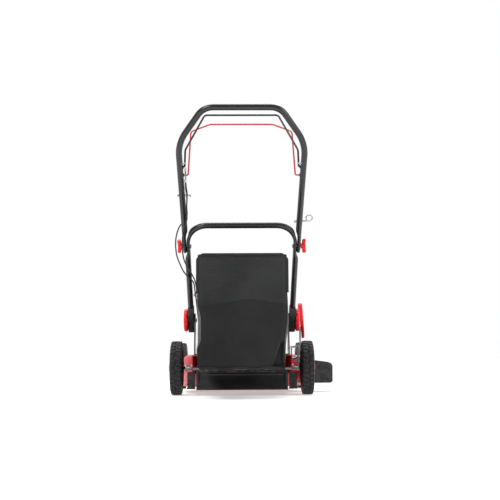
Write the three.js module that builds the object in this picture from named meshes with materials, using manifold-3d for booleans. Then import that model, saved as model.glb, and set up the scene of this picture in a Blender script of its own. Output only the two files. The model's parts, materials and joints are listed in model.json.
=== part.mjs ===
// Walk-behind petrol rotary mower with a rear grass bag. Millimetres, +Z up, +Y forwards,
// +X to the mower's right. Dimensions below are from the ground under the rear axle, on the
// centre plane; the exported group is shifted so that its origin is the middle of its base.
import * as THREE from "three";
import { mergeVertices } from "three/addons/utils/BufferGeometryUtils.js";
import Module from "manifold-3d";

const wasm = await Module();
wasm.setup();

// ---------------------------------------------------------------- driving dimensions
const GAP = 0.4; // between touching pieces
const ORIGIN = [37.9, 96.6]; // middle of the overall box, from the rear axle's centre

const WHEEL = { r: 101.5, width: 44.5, sides: 32, rim: 66, bore: 6.5 };
const REAR = { y: 0, track: 248 }; // half tracks
const FRONT = { y: 580, track: 267 };
const CRANK = { radius: 40, pivotZ: 100, rod: 6, linkUp: 80 };

const DECK = { y: 285, r: 245, bottom: 25, top: 150, wall: 3, shoulder: 26 };
const REAR_BOX = { halfWidth: 188, back: -57, front: 200, bottom: 75 };
const NOSE_BOX = { halfWidth: 205, back: 470, front: 606, bottom: 78 };
const DUCT = { left: -36, right: 132, back: -50, floor: 136, roof: 240, wall: 3 };
const SIDE_DOOR = { y: 235, halfLength: 62, bottom: 36, top: 112, reach: 365 };

const LEVER = { y: 150, z: 134, x: 236 };

const HANDLE = { y: 90, z: 286, slope: 50.5, tube: 11 }; // slope from the horizontal
const LOWER = { halfFoot: 198, halfTop: 203, crossbar: 434, corner: 75, foot: 12 };
const UPPER = { joint: 345, start: 322, halfFoot: 207, halfTop: 219.5, bend: 764, bendR: 150,
  top: 897, topHalf: 129, topR: 62 };
const BRAKE_BAIL = { s: 672.6, rod: 3.6, lean: 59.3, half: 200, straight: 71, diagX: 133,
  top: 222 };
const DRIVE_BAIL = { s: 641, rod: 3, lean: 68.9, half: 189, straight: 195, top: 250 };
const GUIDE = { s: 452, eye: 11.5, wire: 2.2 };
const CLIP = { s: 560 };

const ENGINE = { y: 285, base: 153, blockTop: 262, r: 92 };
const OIL = [66, ENGINE.y - 78]; // the oil filler
const BAG = { half: 155, back: -392, mouth: -66, bottom: 100, top: 493, mouthTop: 236 };

// ---------------------------------------------------------------- materials
const finish = (color, roughness, metalness = 0) =>
  new THREE.MeshStandardMaterial({ color, roughness, metalness });
const MAT = {
  red: () => finish(0xc8141a, 0.35, 0.1),
  redPlastic: () => finish(0xd0161c, 0.45),
  blackPaint: () => finish(0x15161a, 0.35, 0.4),
  plastic: () => finish(0x1a1b1d, 0.6),
  rubber: () => finish(0x1c1c1d, 0.85),
  fabric: () => finish(0x1b1c20, 0.95),
  steel: () => finish(0xa8abae, 0.35, 0.9),
  alloy: () => finish(0x8d9094, 0.5, 0.8),
};

// ---------------------------------------------------------------- shape helpers
const deg = THREE.MathUtils.degToRad;
const v3 = (x, y, z) => new THREE.Vector3(x, y, z);

function solid(geometry) {
  const g = geometry.clone();
  for (const key of Object.keys(g.attributes)) if (key !== "position") g.deleteAttribute(key);
  const merged = mergeVertices(g.index ? g.toNonIndexed() : g, 1e-3);
  return new wasm.Manifold(new wasm.Mesh({
    numProp: 3,
    vertProperties: merged.attributes.position.array,
    triVerts: new Uint32Array(merged.index.array),
  }));
}

function geometryOf(made) {
  const m = made.getMesh();
  return new THREE.BufferGeometry()
    .setAttribute("position", new THREE.BufferAttribute(new Float32Array(m.vertProperties), 3))
    .setIndex(new THREE.BufferAttribute(new Uint32Array(m.triVerts), 1));
}

const join = (...gs) => geometryOf(gs.map(solid).reduce((a, b) => a.add(b)));
const cut = (g, ...tools) => geometryOf(tools.map(solid).reduce((a, b) => a.subtract(b), solid(g)));

// A box from its lowest to its highest corner.
function box(x0, y0, z0, x1, y1, z1) {
  const g = new THREE.BoxGeometry(x1 - x0, y1 - y0, z1 - z0);
  return g.translate((x0 + x1) / 2, (y0 + y1) / 2, (z0 + z1) / 2);
}

// A cylinder along x, y or z, from its start point.
function rod(axis, r, length, [x, y, z], sides = 20, rEnd = r) {
  const g = new THREE.CylinderGeometry(rEnd, r, length, sides).translate(0, length / 2, 0);
  if (axis === "x") g.rotateZ(-Math.PI / 2);
  if (axis === "z") g.rotateX(Math.PI / 2);
  return g.translate(x, y, z);
}

// A turned piece about x or z; the profile is [radius, height] pairs that close on the axis
// or on themselves.
function turned(axis, profile, [x, y, z], sides = 32, phase = 0) {
  const points = profile.map(([r, h]) => new THREE.Vector2(r, h));
  const g = new THREE.LatheGeometry(points, sides, phase);
  if (axis === "x") g.rotateZ(-Math.PI / 2);
  if (axis === "z") g.rotateX(Math.PI / 2);
  return g.translate(x, y, z);
}

const disc = (r, h0, h1, soft = 0) => soft
  ? [[0, h0], [r - soft, h0], [r, h0 + soft], [r, h1 - soft], [r - soft, h1], [0, h1]]
  : [[0, h0], [r, h0], [r, h1], [0, h1]];

// An outline in the Y-Z plane, extruded across from x0 to x1.
function plateX(points, x0, x1) {
  const shape = new THREE.Shape(points.map(([y, z]) => new THREE.Vector2(y, z)));
  const g = new THREE.ExtrudeGeometry(shape, { depth: x1 - x0, bevelEnabled: false, curveSegments: 6 });
  const turn = new THREE.Matrix4().makeBasis(v3(0, 1, 0), v3(0, 0, 1), v3(1, 0, 0));
  return g.applyMatrix4(turn).translate(x0, 0, 0);
}

// A path of straight runs and round bends, with one section at each end and five in a bend.
class BentPath extends THREE.Curve {
  constructor(points, radii, perBend = 5) {
    super();
    this.stops = [];
    const add = (p, t) => this.stops.push({ p, t });
    const last = points.length - 1;
    points.forEach((p, i) => {
      if (i === 0) return add(p, points[1].clone().sub(p).normalize());
      if (i === last) return add(p, p.clone().sub(points[last - 1]).normalize());
      const before = p.clone().sub(points[i - 1]).normalize();
      const after = points[i + 1].clone().sub(p).normalize();
      const angle = before.angleTo(after);
      const r = Array.isArray(radii) ? radii[i - 1] : radii;
      if (angle < 1e-3) return add(p, after);
      const inward = after.clone().sub(before).normalize();
      const centre = p.clone().addScaledVector(inward, r / Math.cos(angle / 2));
      const start = p.clone().addScaledVector(before, -r * Math.tan(angle / 2)).sub(centre);
      const spin = before.clone().cross(after).normalize();
      for (let k = 0; k <= perBend; k++) {
        const turn = (angle * k) / perBend;
        add(start.clone().applyAxisAngle(spin, turn).add(centre),
          before.clone().applyAxisAngle(spin, turn));
      }
    });
  }
  at(u, key) {
    const f = u * (this.stops.length - 1);
    const i = Math.min(Math.floor(f), this.stops.length - 2);
    return this.stops[i][key].clone().lerp(this.stops[i + 1][key], f - i);
  }
  getPoint(u) { return this.at(u, "p"); }
  getPointAt(u) { return this.at(u, "p"); }
  getTangentAt(u) { return this.at(u, "t").normalize(); }
}

function circle(r, sides) {
  const at = (i) => (2 * Math.PI * (i + 0.5)) / sides;
  return new THREE.Shape(Array.from({ length: sides },
    (_, i) => new THREE.Vector2(r * Math.cos(at(i)), r * Math.sin(at(i)))));
}

function bentTube(points, radii, r, sides = 12, perBend = 5) {
  const path = new BentPath(points.map((p) => v3(...p)), radii, perBend);
  return new THREE.ExtrudeGeometry(circle(r, sides),
    { steps: path.stops.length - 1, extrudePath: path, bevelEnabled: false });
}

// A cable through chosen points, with a section at every step of a smooth curve.
function cable(points, r, steps) {
  const path = new THREE.CatmullRomCurve3(points.map((p) => v3(...p)), false, "centripetal");
  return new THREE.ExtrudeGeometry(circle(r, 6), { steps, extrudePath: path, bevelEnabled: false });
}

const mower = new THREE.Group();
mower.position.set(-ORIGIN[0], -ORIGIN[1], 0);

function piece(name, geometry, material, group = mower) {
  const mesh = new THREE.Mesh(geometry, material());
  mesh.name = name;
  group.add(mesh);
  return mesh;
}

const SIDES = [["left", -1], ["right", 1]];

// ---------------------------------------------------------------- deck
function deckShell() {
  const { r, bottom, top, wall, shoulder, y } = DECK;
  const dome = (out, low) => {
    const profile = [[0, low], [r - out, low]];
    for (let i = 0; i <= 3; i++) {
      const a = (i / 3) * (Math.PI / 2);
      profile.push([r - shoulder + (shoulder - out) * Math.cos(a),
        top - shoulder + (shoulder - out) * Math.sin(a)]);
    }
    profile.push([0, top - out]);
    return turned("z", profile, [0, y, 0], 40);
  };
  const rear = (out, low) => box(-REAR_BOX.halfWidth + out, REAR_BOX.back - 1 + (out ? -9 : 0), low,
    REAR_BOX.halfWidth - out, REAR_BOX.front, top - out);
  const nose = (out, low) => plateX([[NOSE_BOX.back, low], [NOSE_BOX.front - out, low],
    [NOSE_BOX.front - out, top - 50], [NOSE_BOX.front - 34 - out, top - out],
    [NOSE_BOX.back, top - out]], -NOSE_BOX.halfWidth + out, NOSE_BOX.halfWidth - out);
  const chamberWall = cut(dome(0, bottom), dome(wall, bottom - 1),
    box(-200, -20, 0, 200, NOSE_BOX.back - 400, 10));
  const rearShell = cut(rear(0, REAR_BOX.bottom), rear(wall, REAR_BOX.bottom - 1), dome(wall, 0));
  const noseShell = cut(nose(0, NOSE_BOX.bottom), nose(wall, NOSE_BOX.bottom - 1), dome(wall, 0));
  const shell = join(chamberWall, rearShell, noseShell);
  return cut(shell,
    rod("z", 30, 20, [0, y, top - 12], 24), // crankshaft
    box(DUCT.left - 1, -60, 40, DUCT.right + 1, 92, top + 5), // grass duct
    box(-152, 20, 128, DUCT.left - 2, 96, top - 5), // belt
    box(-200, -46, 60, 200, 13, 114), // drive shaft
    rod("x", 6.8, 32, [188, LEVER.y, LEVER.z], 14), // height lever's stud
    rod("z", 7, 16, [-157.5, -19, top - 10], 12), // drive cable
    box(205, SIDE_DOOR.y - 52, 44, 260, SIDE_DOOR.y + 52, 106), // side discharge
    rod("x", CRANK.rod + 1.4, 420, [-210, FRONT.y - CRANK.radius, CRANK.pivotZ], 16));
}

// The duct climbs from the chamber's back wall to the bag's mouth, and is open at both ends.
function grassDuct() {
  const { left, right, back, floor, roof, wall } = DUCT;
  const side = (out) => [[back - (out ? 5 : 0), floor + out], [26, floor + out], [66, 92 + out],
    [90 + (out ? 5 : 0), 74 + out], [90 + (out ? 5 : 0), DECK.top + 26 - out],
    [20, roof - out], [back - (out ? 5 : 0), roof - out]];
  return cut(plateX(side(0), left, right), plateX(side(wall), left + wall, right - wall));
}

function rearDoor() {
  const length = 165;
  const [y, z] = [BAG.mouth + 16, BAG.mouthTop + 14];
  const slope = Math.atan2(BAG.top - BAG.mouthTop, BAG.mouth - BAG.back);
  const end = [y - length * Math.cos(slope), z + length * Math.sin(slope)];
  const panel = plateX([[y, z - 2], [y, z + 2], [end[0], end[1] + 2], [end[0] - 7, end[1] - 7],
    [end[0] - 4, end[1] - 9], [end[0], end[1] - 2]], -142, 142);
  return join(panel, rod("x", 6, 284, [-142, y + 4, z], 14), rod("x", 3, 312, [-156, y + 4, z], 10));
}

piece("deck_shell", deckShell(), MAT.red);
piece("grass_duct", grassDuct(), MAT.plastic);
piece("rear_door", rearDoor(), MAT.plastic);
piece("trailing_shield", plateX([[-54, 88], [-50, 92], [-46, 88], [-60, 24], [-66, 20], [-66, 24]],
  -172, 172), MAT.rubber);

// Side-discharge chute: a hood, open below and at its outer end, hung from the deck's side.
function sideChute() {
  const { y, halfLength: l, bottom, top, reach } = SIDE_DOOR;
  const hood = (out) => {
    const shape = new THREE.Shape([[246, top + 12 - out], [300, top + 14 - out], [reach - 20, top + 8 - out],
      [reach - 5 - out, top + 2 - out], [reach - out, top - 8 - out], [reach - out, bottom + 6],
      [reach - 10, bottom - (out ? 6 : 0)], [246, bottom - (out ? 6 : 0)]]
      .map(([a, b]) => new THREE.Vector2(a, b)));
    const half = l - out;
    const g = new THREE.ExtrudeGeometry(shape, { depth: 2 * half, bevelEnabled: false });
    return g.rotateX(Math.PI / 2).translate(0, y + half, 0);
  };
  const inside = hood(3).translate(-6, 0, 0);
  const outlet = box(300, y - l + 12, bottom - 10, reach - 14, y + l - 12, bottom + 30);
  const tab = plateX([[y - 16, top + 10], [y + 16, top + 10], [y + 6, top + 32], [y - 6, top + 32]],
    252, 258);
  return cut(join(hood(0), tab), inside, outlet);
}
piece("side_chute", sideChute(), MAT.plastic);

// ---------------------------------------------------------------- engine
const upFrom = (low, high) => high - low;
function engineBlock() {
  const { y, base, blockTop, r } = ENGINE;
  const flange = turned("z", disc(112, base, base + 14, 3), [0, y, 0], 24);
  const crankcase = rod("z", r, upFrom(base + 10, blockTop), [0, y, base + 10], 24);
  const neck = box(-44, y + 70, base + 20, 44, y + 112, blockTop - 14);
  const tankSeat = box(-138, y - 46, blockTop - 40, -60, y + 40, blockTop - 26);
  const intake = box(60, y - 30, blockTop - 62, 118, y + 26, blockTop - 14);
  return cut(join(flange, crankcase, neck, tankSeat, intake),
    rod("z", 13, 130, [0, y, base - 2], 20), rod("z", 11, 20, [...OIL, blockTop - 12], 16));
}

function finnedHead() {
  const y0 = ENGINE.y + 112.4;
  const fins = Array.from({ length: 6 }, (_, i) =>
    box(-52, y0 + 4 + i * 11, ENGINE.base + 12, 52, y0 + 8 + i * 11, ENGINE.blockTop - 6));
  const core = box(-36, y0, ENGINE.base + 24, 36, y0 + 68, ENGINE.blockTop - 18);
  return join(core, ...fins);
}

const HOUSING = { r: 118, low: ENGINE.blockTop + 0.4, high: 334, wall: 3 };
function blowerHousing() {
  const { r, low, high, wall } = HOUSING;
  const outer = turned("z", [[0, low], [r, low], [r, high - 20], [r - 18, high], [0, high]],
    [0, ENGINE.y, 0], 24);
  const inner = turned("z", [[0, low - 2], [r - wall, low - 2], [r - wall, high - 21],
    [r - 19, high - wall], [0, high - wall]], [0, ENGINE.y, 0], 24);
  return cut(outer, inner, rod("z", 64, 20, [0, ENGINE.y, high - 10], 24),
    rod("z", 18, 100, [...OIL, low - 4], 16));
}

// Recoil starter cover: a shallow dome with slots that let cooling air in.
function recoilCover() {
  const low = HOUSING.high + GAP;
  const dome = turned("z", [[0, low], [84, low], [84, low + 12], [70, low + 30], [40, low + 38],
    [0, low + 40]], [0, ENGINE.y, 0], 20);
  const hollow = turned("z", [[0, low - 1], [58, low - 1], [58, low + 24], [0, low + 32]],
    [0, ENGINE.y, 0], 16);
  const slots = Array.from({ length: 8 }, (_, i) =>
    box(46, -4, low - 2, 66, 4, low + 60).rotateZ((i * Math.PI) / 4).translate(0, ENGINE.y, 0));
  return cut(dome, hollow, ...slots);
}

function fuelTank() {
  const { y, blockTop } = ENGINE;
  const body = box(-172, y - 58, blockTop - 25.6, -120, y + 62, blockTop + 62);
  const shelf = box(-172, y - 44, blockTop - 25.6, -94, y + 38, blockTop - 2);
  const neck = rod("z", 17, 12, [-146, y, blockTop + 60], 20);
  return cut(join(body, shelf, neck), rod("z", 12, 40, [-146, y, blockTop + 40], 16),
    rod("z", HOUSING.r + 1, 80, [0, y, blockTop - 1], 32));
}

const ridged = (r, depth, teeth, h0, h1, at) => cut(
  turned("z", disc(r, h0, h1, 1.5), at, teeth * 2),
  ...Array.from({ length: teeth }, (_, i) => {
    const a = (2 * Math.PI * i) / teeth;
    return rod("z", depth, h1 - h0 + 4, [at[0] + r * Math.cos(a), at[1] + r * Math.sin(a),
      h0 - 2 + at[2]], 6);
  }));

piece("engine_block", engineBlock(), MAT.alloy);
piece("cylinder_head", finnedHead(), MAT.alloy);
piece("blower_housing", blowerHousing(), MAT.plastic);
piece("recoil_cover", recoilCover(), MAT.redPlastic);
piece("fuel_tank", fuelTank(), MAT.plastic);
piece("fuel_cap", ridged(22, 3, 8, ENGINE.blockTop + 72.4, ENGINE.blockTop + 88,
  [-146, ENGINE.y, 0]), MAT.redPlastic);
piece("oil_cap", join(rod("z", 9, 96, [...OIL, ENGINE.blockTop - 8], 12),
  turned("z", disc(15, ENGINE.blockTop + 86, ENGINE.blockTop + 102, 2),
    [...OIL, 0], 16)), MAT.redPlastic);
piece("air_filter", join(box(118.4, ENGINE.y - 50, 196, 166, ENGINE.y + 46, 286),
  box(166, ENGINE.y - 44, 202, 174, ENGINE.y + 40, 280)), MAT.plastic);
piece("muffler", join(box(60, ENGINE.y + 104, 176, 150, ENGINE.y + 168, 246),
  box(52.6, ENGINE.y + 118, 190, 62, ENGINE.y + 150, 228)), MAT.steel);
piece("spark_plug_boot", join(rod("y", 9, 30, [0, ENGINE.y + 180.8, 208], 12),
  rod("z", 8, 34, [0, ENGINE.y + 206, 206], 12)), MAT.rubber);
piece("starter_grip", join(box(-14, ENGINE.y - 150, 352, 14, ENGINE.y - 136, 372),
  rod("x", 9, 96, [-48, ENGINE.y - 143, 362], 14),
  rod("y", 5, 46, [0, ENGINE.y - 137, 362], 10)), MAT.rubber);

// ---------------------------------------------------------------- crankshaft and blade
const shaftY = ENGINE.y;
piece("crankshaft", join(rod("z", 12, 240, [0, shaftY, 88], 20),
  turned("z", [[0, 131], [30, 131], [30, 133.4], [24, 137], [30, 140.6], [30, 143], [0, 143]],
    [0, shaftY, 0], 24)), MAT.steel);
piece("flywheel", cut(join(turned("z", disc(84, 276, 292, 3), [0, shaftY, 0], 20),
  ...Array.from({ length: 8 }, (_, i) =>
    box(50, -2, 290, 80, 2, 312).rotateZ((i * Math.PI) / 4).translate(0, shaftY, 0))),
  rod("z", 12.4, 60, [0, shaftY, 270], 20)), MAT.alloy);
piece("blade_adapter", cut(join(turned("z", disc(20, 52.4, 87.6, 2), [0, shaftY, 0], 20),
  box(-36, shaftY - 18, 52.4, 36, shaftY + 18, 62)),
  rod("z", 4.6, 50, [0, shaftY, 45], 12)), MAT.alloy);

function blade() {
  const flat = (a) => box(0, -29, 48, 175, 29, 52).rotateZ(a);
  const lift = (a) => {
    const g = new THREE.ExtrudeGeometry(new THREE.Shape([[174, 48], [228, 48], [228, 62], [214, 66],
      [196, 52], [174, 52]].map(([x, z]) => new THREE.Vector2(x, z))),
      { depth: 58, bevelEnabled: false });
    return g.rotateX(Math.PI / 2).translate(0, 29, 0).rotateZ(a);
  };
  const whole = join(flat(0), flat(Math.PI), lift(0), lift(Math.PI));
  return cut(whole, rod("z", 4.6, 20, [0, 0, 40], 12)).rotateZ(0.5).translate(0, shaftY, 0);
}
piece("blade", blade(), MAT.steel);
piece("blade_bolt", join(rod("z", 4.2, 46, [0, shaftY, 41], 12), rod("z", 13, 9, [0, shaftY, 38.6], 6)),
  MAT.steel);

// ---------------------------------------------------------------- wheels and axles
// Each tyre has a flat tread facet at its lowest point.
function tyre(x, y, side) {
  const { r, width, sides, rim } = WHEEL;
  const half = width / 2;
  const outer = r / Math.cos(Math.PI / sides);
  const profile = [[rim, -half + 4], [rim + 22, -half], [outer - 6, -half + 1], [outer, -half + 7],
    [outer, half - 7], [outer - 6, half - 1], [rim + 22, half], [rim, half - 4], [rim, -half + 4]];
  return turned("x", profile, [x * side, y, r], sides, Math.PI / sides);
}

function rim(x, y, side) {
  const out = WHEEL.width / 2;
  const profile = [[WHEEL.bore, -12], [20, -12], [20, 1], [WHEEL.rim - 5, 5], [WHEEL.rim - 5, -out + 5],
    [WHEEL.rim - GAP, -out + 5], [WHEEL.rim - GAP, out - 5], [WHEEL.rim - 6, out - 4], [50, 11],
    [24, 13], [24, out - 1], [WHEEL.bore, out - 1], [WHEEL.bore, -12]]
    .map(([r, h]) => [r, h * side]);
  if (side < 0) profile.reverse();
  return turned("x", profile, [x * side, y, WHEEL.r], 16);
}

function hubCap(x, y, side) {
  const at = WHEEL.width / 2 - 1 + GAP;
  const profile = [[0, at], [22, at], [20, at + 5], [12, at + 8], [0, at + 8]]
    .map(([r, h]) => [r, h * side]);
  if (side < 0) profile.reverse();
  return turned("x", profile, [x * side, y, WHEEL.r], 18);
}

for (const [end, axle] of [["rear", REAR], ["front", FRONT]])
  for (const [sideName, side] of SIDES) {
    piece(`${end}_tyre_${sideName}`, tyre(axle.track, axle.y, side), MAT.rubber);
    piece(`${end}_rim_${sideName}`, rim(axle.track, axle.y, side), MAT.plastic);
    if (end === "rear") piece(`${end}_cap_${sideName}`, hubCap(axle.track, axle.y, side), MAT.redPlastic);
  }

// A crank axle: a rod under the deck, an arm plate at each end and, on the right, an ear for
// the link rod.
function crankAxle(wheelY, halfRod) {
  const { radius, pivotZ, rod: r, linkUp } = CRANK;
  const pivotY = wheelY - radius;
  const arm = (side, ear) => {
    const [x0, x1] = side > 0 ? [halfRod - 6, halfRod] : [-halfRod, -halfRod + 6];
    const bar = plateX([[pivotY - 12, pivotZ - 10], [wheelY + 2, WHEEL.r - 13], [wheelY + 13, WHEEL.r],
      [wheelY + 2, WHEEL.r + 13], [pivotY - 6, pivotZ + 13]], x0, x1);
    const up = plateX([[pivotY - 9, pivotZ], [pivotY + 9, pivotZ], [pivotY + 8, pivotZ + linkUp + 8],
      [pivotY - 8, pivotZ + linkUp + 8]], x0, x1);
    return ear ? join(bar, up) : bar;
  };
  return join(rod("x", r, 2 * halfRod - 2, [-halfRod + 1, pivotY, pivotZ], 14),
    arm(1, true), arm(-1, false));
}

function frontAxle() {
  const axle = crankAxle(FRONT.y, 226);
  const stub = (side) => rod("x", 6, 62, [side > 0 ? 224 : -286, FRONT.y, WHEEL.r], 14);
  return cut(join(axle, stub(1), stub(-1)),
    rod("x", 3.4, 20, [216, FRONT.y - CRANK.radius, CRANK.pivotZ + CRANK.linkUp], 12));
}
function rearAxle() {
  const pinZ = CRANK.pivotZ + CRANK.linkUp;
  const pivotY = REAR.y - CRANK.radius;
  const torqueArm = box(-122, pivotY - 3, CRANK.pivotZ - 8, -98, pivotY + 11, CRANK.pivotZ + 8);
  return cut(join(crankAxle(REAR.y, 214), torqueArm),
    rod("x", 7, 30, [200, REAR.y, WHEEL.r], 16), rod("x", 7, 30, [-230, REAR.y, WHEEL.r], 16),
    rod("x", 3.4, 20, [204, pivotY, pinZ], 12));
}
piece("front_axle", frontAxle(), MAT.steel);
piece("rear_axle", rearAxle(), MAT.steel);
piece("drive_shaft", rod("x", 6, 536, [-268, REAR.y, WHEEL.r], 14), MAT.steel);
piece("gearbox", cut(join(
  rod("x", 27, 66, [-143, REAR.y, WHEEL.r], 20), rod("z", 20, 40, [-110, REAR.y, 90], 16),
  box(-121, REAR.y - CRANK.radius + 11.4, 92, -99, REAR.y - 8, 108)),
  rod("x", 6.6, 90, [-155, REAR.y, WHEEL.r], 14)), MAT.alloy);
piece("gearbox_pulley", turned("z", [[0, 131], [27, 131], [27, 133.4], [20, 137], [27, 140.6],
  [27, 143], [0, 143]], [-110, REAR.y, 0], 24), MAT.steel);

// The V belt's loop round the crankshaft's pulley and the gearbox's.
function beltBand(ra, rb, depth, z) {
  const [ax, ay, bx, by] = [0, shaftY, -110, REAR.y];
  const heading = Math.atan2(by - ay, bx - ax);
  const shape = new THREE.Shape();
  shape.absarc(ax, ay, ra, heading + Math.PI / 2, heading + 1.5 * Math.PI, false);
  shape.absarc(bx, by, rb, heading + 1.5 * Math.PI, heading + 2.5 * Math.PI, false);
  return new THREE.ExtrudeGeometry(shape, { depth, bevelEnabled: false, curveSegments: 10 })
    .translate(0, 0, z);
}
const BELT = { low: 135.2, depth: 3.6, thick: 3, driver: 28, driven: 24.6 };
piece("drive_belt", cut(
  beltBand(BELT.driver + BELT.thick, BELT.driven + BELT.thick, BELT.depth, BELT.low),
  beltBand(BELT.driver, BELT.driven, BELT.depth + 4, BELT.low - 2)), MAT.rubber);

// Height adjustment: a lever on the right that turns the rear crank axle, and a rod from it to
// the front crank axle.
function leverArm() {
  const { y, z, x } = LEVER;
  const arm = plateX([[y - 8, z - 8], [y + 10, z - 8], [y + 30, 262], [y + 20, 262], [y - 2, 200]],
    x - 4, x + 1);
  return join(rod("x", 13, x - 214.5, [215, y, z], 18), rod("x", 6, 30, [190, y, z], 14), arm);
}
function leverGrip() {
  const { y, x } = LEVER;
  const shape = new THREE.Shape();
  shape.moveTo(y - 4, 219);
  shape.quadraticCurveTo(y + 2, 300, y + 34, 350);
  shape.quadraticCurveTo(y + 44, 358, y + 50, 346);
  shape.quadraticCurveTo(y + 44, 280, y + 34, 219);
  const g = new THREE.ExtrudeGeometry(shape, { depth: 14, bevelEnabled: true, bevelSize: 4,
    bevelThickness: 4, bevelSegments: 1, curveSegments: 8 });
  const turn = new THREE.Matrix4().makeBasis(v3(0, 1, 0), v3(0, 0, 1), v3(1, 0, 0));
  g.applyMatrix4(turn).translate(x - 2, 0, 0);
  return cut(g, box(x - 5, y - 20, 190, x + 1.5, y + 31, 263));
}
piece("height_lever", leverArm(), MAT.steel);
piece("height_grip", leverGrip(), MAT.redPlastic);
function linkRod() {
  const z = CRANK.pivotZ + CRANK.linkUp;
  const [back, front] = [REAR.y - CRANK.radius, FRONT.y - CRANK.radius];
  return join(bentTube([[201, back - 10, z], [201, back + 60, z], [216, front - 60, z],
    [216, front + 8, z]], 60, 3.5, 8, 2),
    rod("x", 3, 16, [200, back, z], 10), rod("x", 3, 14, [215, front, z], 10));
}
piece("height_link", linkRod(), MAT.steel);

// ---------------------------------------------------------------- handle
// Groups whose +Y runs up along a lever from its pivot, and whose +Z faces the operator's legs.
function leaning(y, z, angle) {
  const group = new THREE.Group();
  group.position.set(0, y, z);
  group.rotation.x = deg(180 - angle);
  mower.add(group);
  return group;
}
const alongHandle = (s) => [HANDLE.y - s * Math.cos(deg(HANDLE.slope)),
  HANDLE.z + s * Math.sin(deg(HANDLE.slope))];
const handle = leaning(HANDLE.y, HANDLE.z, HANDLE.slope);
const brakeBail = leaning(...alongHandle(BRAKE_BAIL.s), HANDLE.slope + BRAKE_BAIL.lean);
const driveBail = leaning(...alongHandle(DRIVE_BAIL.s), HANDLE.slope + DRIVE_BAIL.lean);

// Where a level crosswise hole passes through both tubes at s along the handle.
const across = (r, s, x0, x1, z = 0, sides = 12) => rod("x", r, x1 - x0, [x0, s, z], sides);

const LAP = 204.6; // where the two handles' flattened sides meet at the wing knobs
function lowerHandle() {
  const { halfFoot, halfTop, crossbar, corner, foot } = LOWER;
  const tube = bentTube([[-halfFoot, foot, 0], [-halfTop, crossbar, 0], [halfTop, crossbar, 0],
    [halfFoot, foot, 0]], corner, HANDLE.tube, 12, 6);
  const flats = SIDES.map(([, side]) =>
    box(side > 0 ? LAP : -240, UPPER.joint - 34, -20, side > 0 ? 240 : -LAP, crossbar + 12, 20));
  const holes = across(4, UPPER.joint, -250, 250);
  return cut(tube, ...flats, holes);
}

function upperHandle() {
  const { joint, start, halfFoot, halfTop, bend, bendR, top, topHalf, topR } = UPPER;
  const side = (x) => [x * halfTop, bend, 0];
  const tube = bentTube([[-halfFoot, start, 0], side(-1), [-topHalf, top, 0], [topHalf, top, 0],
    side(1), [halfFoot, start, 0]], [bendR, topR, topR, bendR], HANDLE.tube, 12, 5);
  const flats = SIDES.map(([, s]) =>
    box(s > 0 ? 180 : -LAP - GAP, start - 20, -20, s > 0 ? LAP + GAP : -180, joint + 72, 20));
  const pivots = [BRAKE_BAIL.s, DRIVE_BAIL.s].map((s) => across(4.4, s, -260, 260));
  return cut(tube, ...flats, across(4, joint, -250, 250), ...pivots,
    across(3.6, GUIDE.s, 180, 250), across(3.6, CLIP.s, -250, -180));
}

// The plastic block that holds the lower handle's end, turning on the bracket.
function handleFoot(side) {
  const outline = new THREE.Shape();
  const [half, low, high] = [27, -24, 38];
  outline.absarc(0, low, half, Math.PI, 2 * Math.PI, false);
  outline.lineTo(half, high);
  outline.absarc(0, high, half, 0, Math.PI, false);
  const g = new THREE.ExtrudeGeometry(outline, { depth: 19, bevelEnabled: true, bevelSize: 2,
    bevelThickness: 2, bevelSegments: 1, curveSegments: 5 });
  const turn = new THREE.Matrix4().makeBasis(v3(0, 0, -1), v3(0, 1, 0), v3(1, 0, 0));
  g.applyMatrix4(turn).translate(side > 0 ? 189 : -208, 0, 0);
  const socket = bentTube([[side * LOWER.halfFoot, LOWER.foot - 1, 0],
    [side * (LOWER.halfFoot + 1), LOWER.foot + 86, 0]], 0, HANDLE.tube + 0.6, 14);
  return cut(g, socket,
    across(5, 0, -260, 260));
}

function bracket(side) {
  const [x0, x1] = side > 0 ? [181.6, 185.6] : [-185.6, -181.6];
  const { y, z } = HANDLE;
  const plate = plateX([[y - 46, 150.4], [y + 56, 150.4], [y + 26, z + 8], [y + 12, z + 26],
    [y - 12, z + 26], [y - 24, z + 8]], x0, x1);
  const foot = box(side > 0 ? 160 : -185, y - 44, 150.4, side > 0 ? 185 : -160, y + 54, 154);
  return cut(join(plate, foot), rod("x", 5, 60, [side * 190 - 30, y, z], 12));
}

// A scalloped clamp knob with a spacer behind it and its bolt, out along x from the block.
const KNOB = { r: 44.5, x0: 213, x1: 227.5, scallops: 8 };
function discKnob(side) {
  const { r, x0, x1, scallops } = KNOB;
  const body = turned("z", disc(r, x0, x1, 3), [0, 0, 0], 16);
  const notches = Array.from({ length: scallops }, (_, i) => {
    const a = (2 * Math.PI * (i + 0.5)) / scallops;
    return rod("z", 10, 30, [(r + 4) * Math.cos(a), (r + 4) * Math.sin(a), x0 - 5], 8);
  });
  const posts = [-19, 19].map((h) => rod("z", 6, x0 - 210.3 + 1, [0, h, 210.3], 8));
  const bolt = rod("z", 4.4, x0 - 176 + 2, [0, 0, 176], 10);
  const nut = rod("z", 9, 5, [0, 0, 176.2], 6);
  return join(cut(body, ...notches), ...posts, bolt, nut).rotateY((side * Math.PI) / 2);
}

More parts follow.
